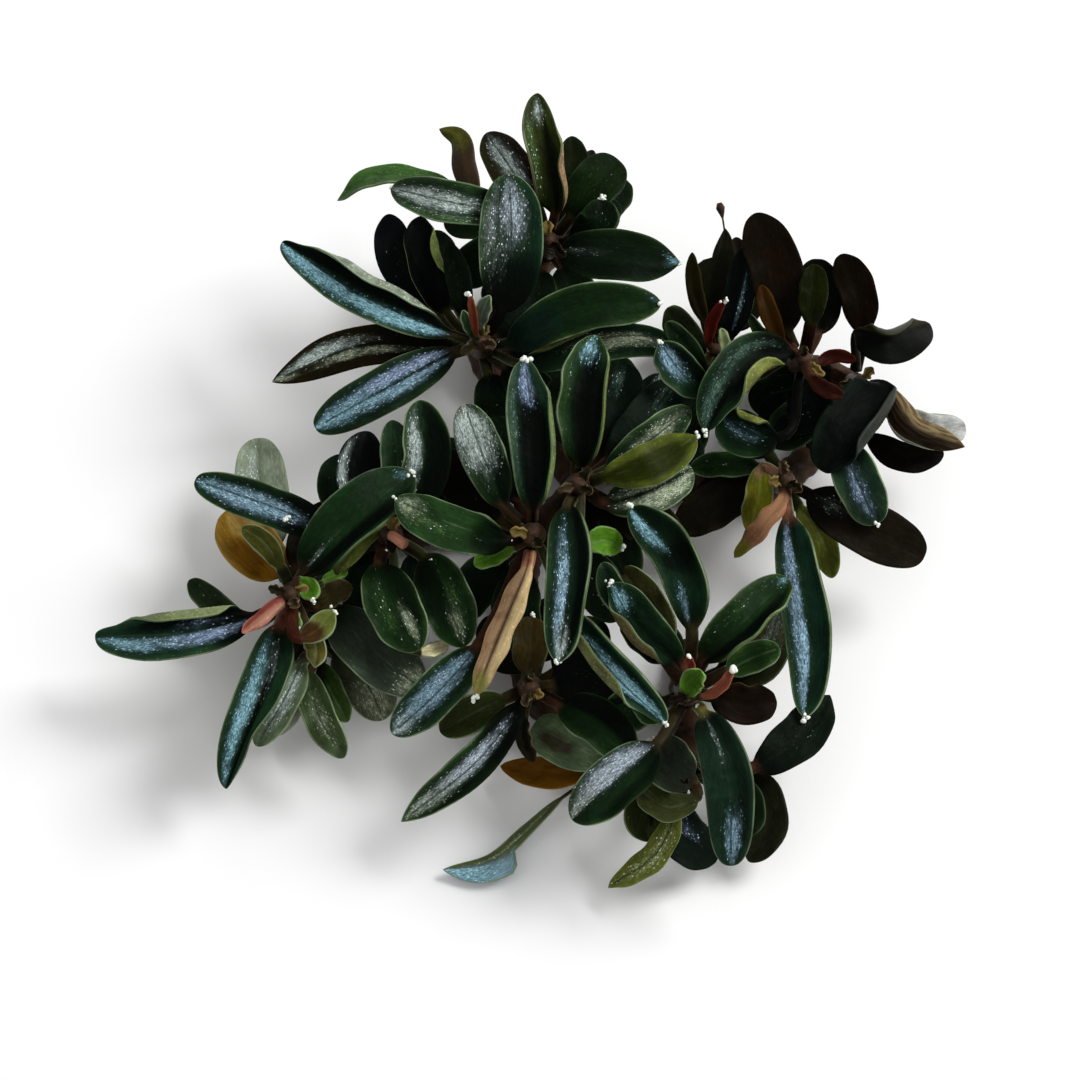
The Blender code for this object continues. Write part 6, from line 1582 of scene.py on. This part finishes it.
# Dry thread with a dark blob at the tip of a torn leaf, and the stub of a cut leaf stalk
THREAD_HEIGHTS = [-0.6, 0.2, 1.0, 1.6, 2.1, 2.6]
THREAD_RADII = [0.10, 0.10, 0.10, 0.32, 0.48, 0.26]
THREAD_LEAN = 0.12
STUB_RADIUS = 0.55
STUB_RINGS = 8
STUB_COLOUR = shade(178, 122, 100)
tip = tops["ne_small_ragged"]
thread = [tip + height * UP - THREAD_LEAN * k * RIGHT for k, height in enumerate(THREAD_HEIGHTS)]
stub = [placed(39.0, 53.5, 15.6), placed(39.7, 53.9, 16.6), placed(40.4, 54.4, 17.2)]
points, faces, where = ringed_tube(thread, THREAD_RADII, 10, "thread")
write_mesh("dry_thread", points, faces, {"where": where}, [STEM])
stub = smooth_curve(np.array(stub), np.linspace(0, 1, STUB_RINGS))
points, faces, where = ringed_tube(stub, [STUB_RADIUS] * STUB_RINGS, 14, "stub")
paint = np.tile(STUB_COLOUR, (len(points), 1))
values = {"where": where, "paint": paint, "edge": np.ones((len(points), 1))}
write_mesh("cut_stub", points, faces, values, [LEAF_OLD])

for name, stops in SECTIONS.items():
    line = smooth_curve(section_line(stops), np.linspace(0, 1, SKIN_RINGS))
    swell = [RHIZOME_RADIUS * SKIN_SHARE * (1 + 0.05 * math.sin(i * 1.7)) for i in range(SKIN_RINGS)]
    swell[0] *= 0.8
    swell[-1] *= 0.8
    tubes = [ringed_tube(line, swell, 20, name)]
    for stop in stops:
        if not isinstance(stop, str):
            continue
        top = shoot_top(stop)
        along = np.linspace((top[2] - LOWEST_RIB) / BACK[2], -0.2, SHOOT_RINGS)
        upright = [top - BACK * a for a in along]
        rings = 1 + 0.07 * np.abs(np.sin(along * 2.1))
        taper = SHOOT_TIP_RADIUS + (SHOOT_RADIUS - SHOOT_TIP_RADIUS) * along / TAPER_LENGTH
        radii = np.where(along < TAPER_LENGTH, taper, SHOOT_RADIUS)
        radii = np.maximum(radii * rings * SHOOT_SKIN_SHARE, 0.3)
        radii[-1] = 0.25
        tubes.append(ringed_tube(upright, radii, 16, stop))
    points, faces, where = joined(tubes)
    points[:, 2] = np.maximum(points[:, 2], 0)
    piece = write_mesh(name + "_skin", points, faces, {"where": where}, [STEM])
    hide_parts(name)

# Floor, light and camera
floor = bpy.data.objects.new("floor", bpy.data.meshes.new("floor"))
floor.data.from_pydata([(-3, -3, 0), (3, -3, 0), (3, 3, 0), (-3, 3, 0)], [], [(0, 1, 2, 3)])
bpy.context.scene.collection.objects.link(floor)
pale = Shader("floor").finish(Base_Color=(0.86, 0.86, 0.86, 1), Roughness=0.9, Specular_IOR_Level=0.1)
floor.data.materials.append(pale)

world = bpy.data.worlds.new("studio")
world.use_nodes = True
sky = world.node_tree.nodes["Background"]
sky.inputs["Color"].default_value = (1, 1, 1, 1)
sky.inputs["Strength"].default_value = 0.56
bpy.context.scene.world = world


def area_light(name, place, size, power):
    """Soft square light that faces the middle of the clump."""
    lamp = bpy.data.lights.new(name, "AREA")
    lamp.shape = "SQUARE"
    lamp.size = size
    lamp.energy = power
    made = bpy.data.objects.new(name, lamp)
    made.location = place
    made.rotation_euler = (Vector((0, 0, 0.01)) - Vector(place)).to_track_quat("-Z", "Y").to_euler()
    bpy.context.scene.collection.objects.link(made)


area_light("key", (0.60, 0.24, 0.62), 0.40, 8.2)
area_light("fill", (-0.5, -0.4, 0.7), 0.8, 0.5)

camera = bpy.data.objects.new("camera", bpy.data.cameras.new("camera"))
camera.data.sensor_width = SENSOR_WIDTH
camera.data.lens = SENSOR_WIDTH * VIEW_DISTANCE / (2 * VIEW_MIDDLE)
camera.data.clip_start = 0.01
camera.location = Vector((EYE - CENTRE) * METRES)
camera.rotation_euler = Vector(-BACK).to_track_quat("-Z", "Y").to_euler()
bpy.context.scene.collection.objects.link(camera)
bpy.context.scene.camera = camera

bpy.context.scene.view_settings.view_transform = "Standard"
bpy.context.scene.view_settings.look = "None"
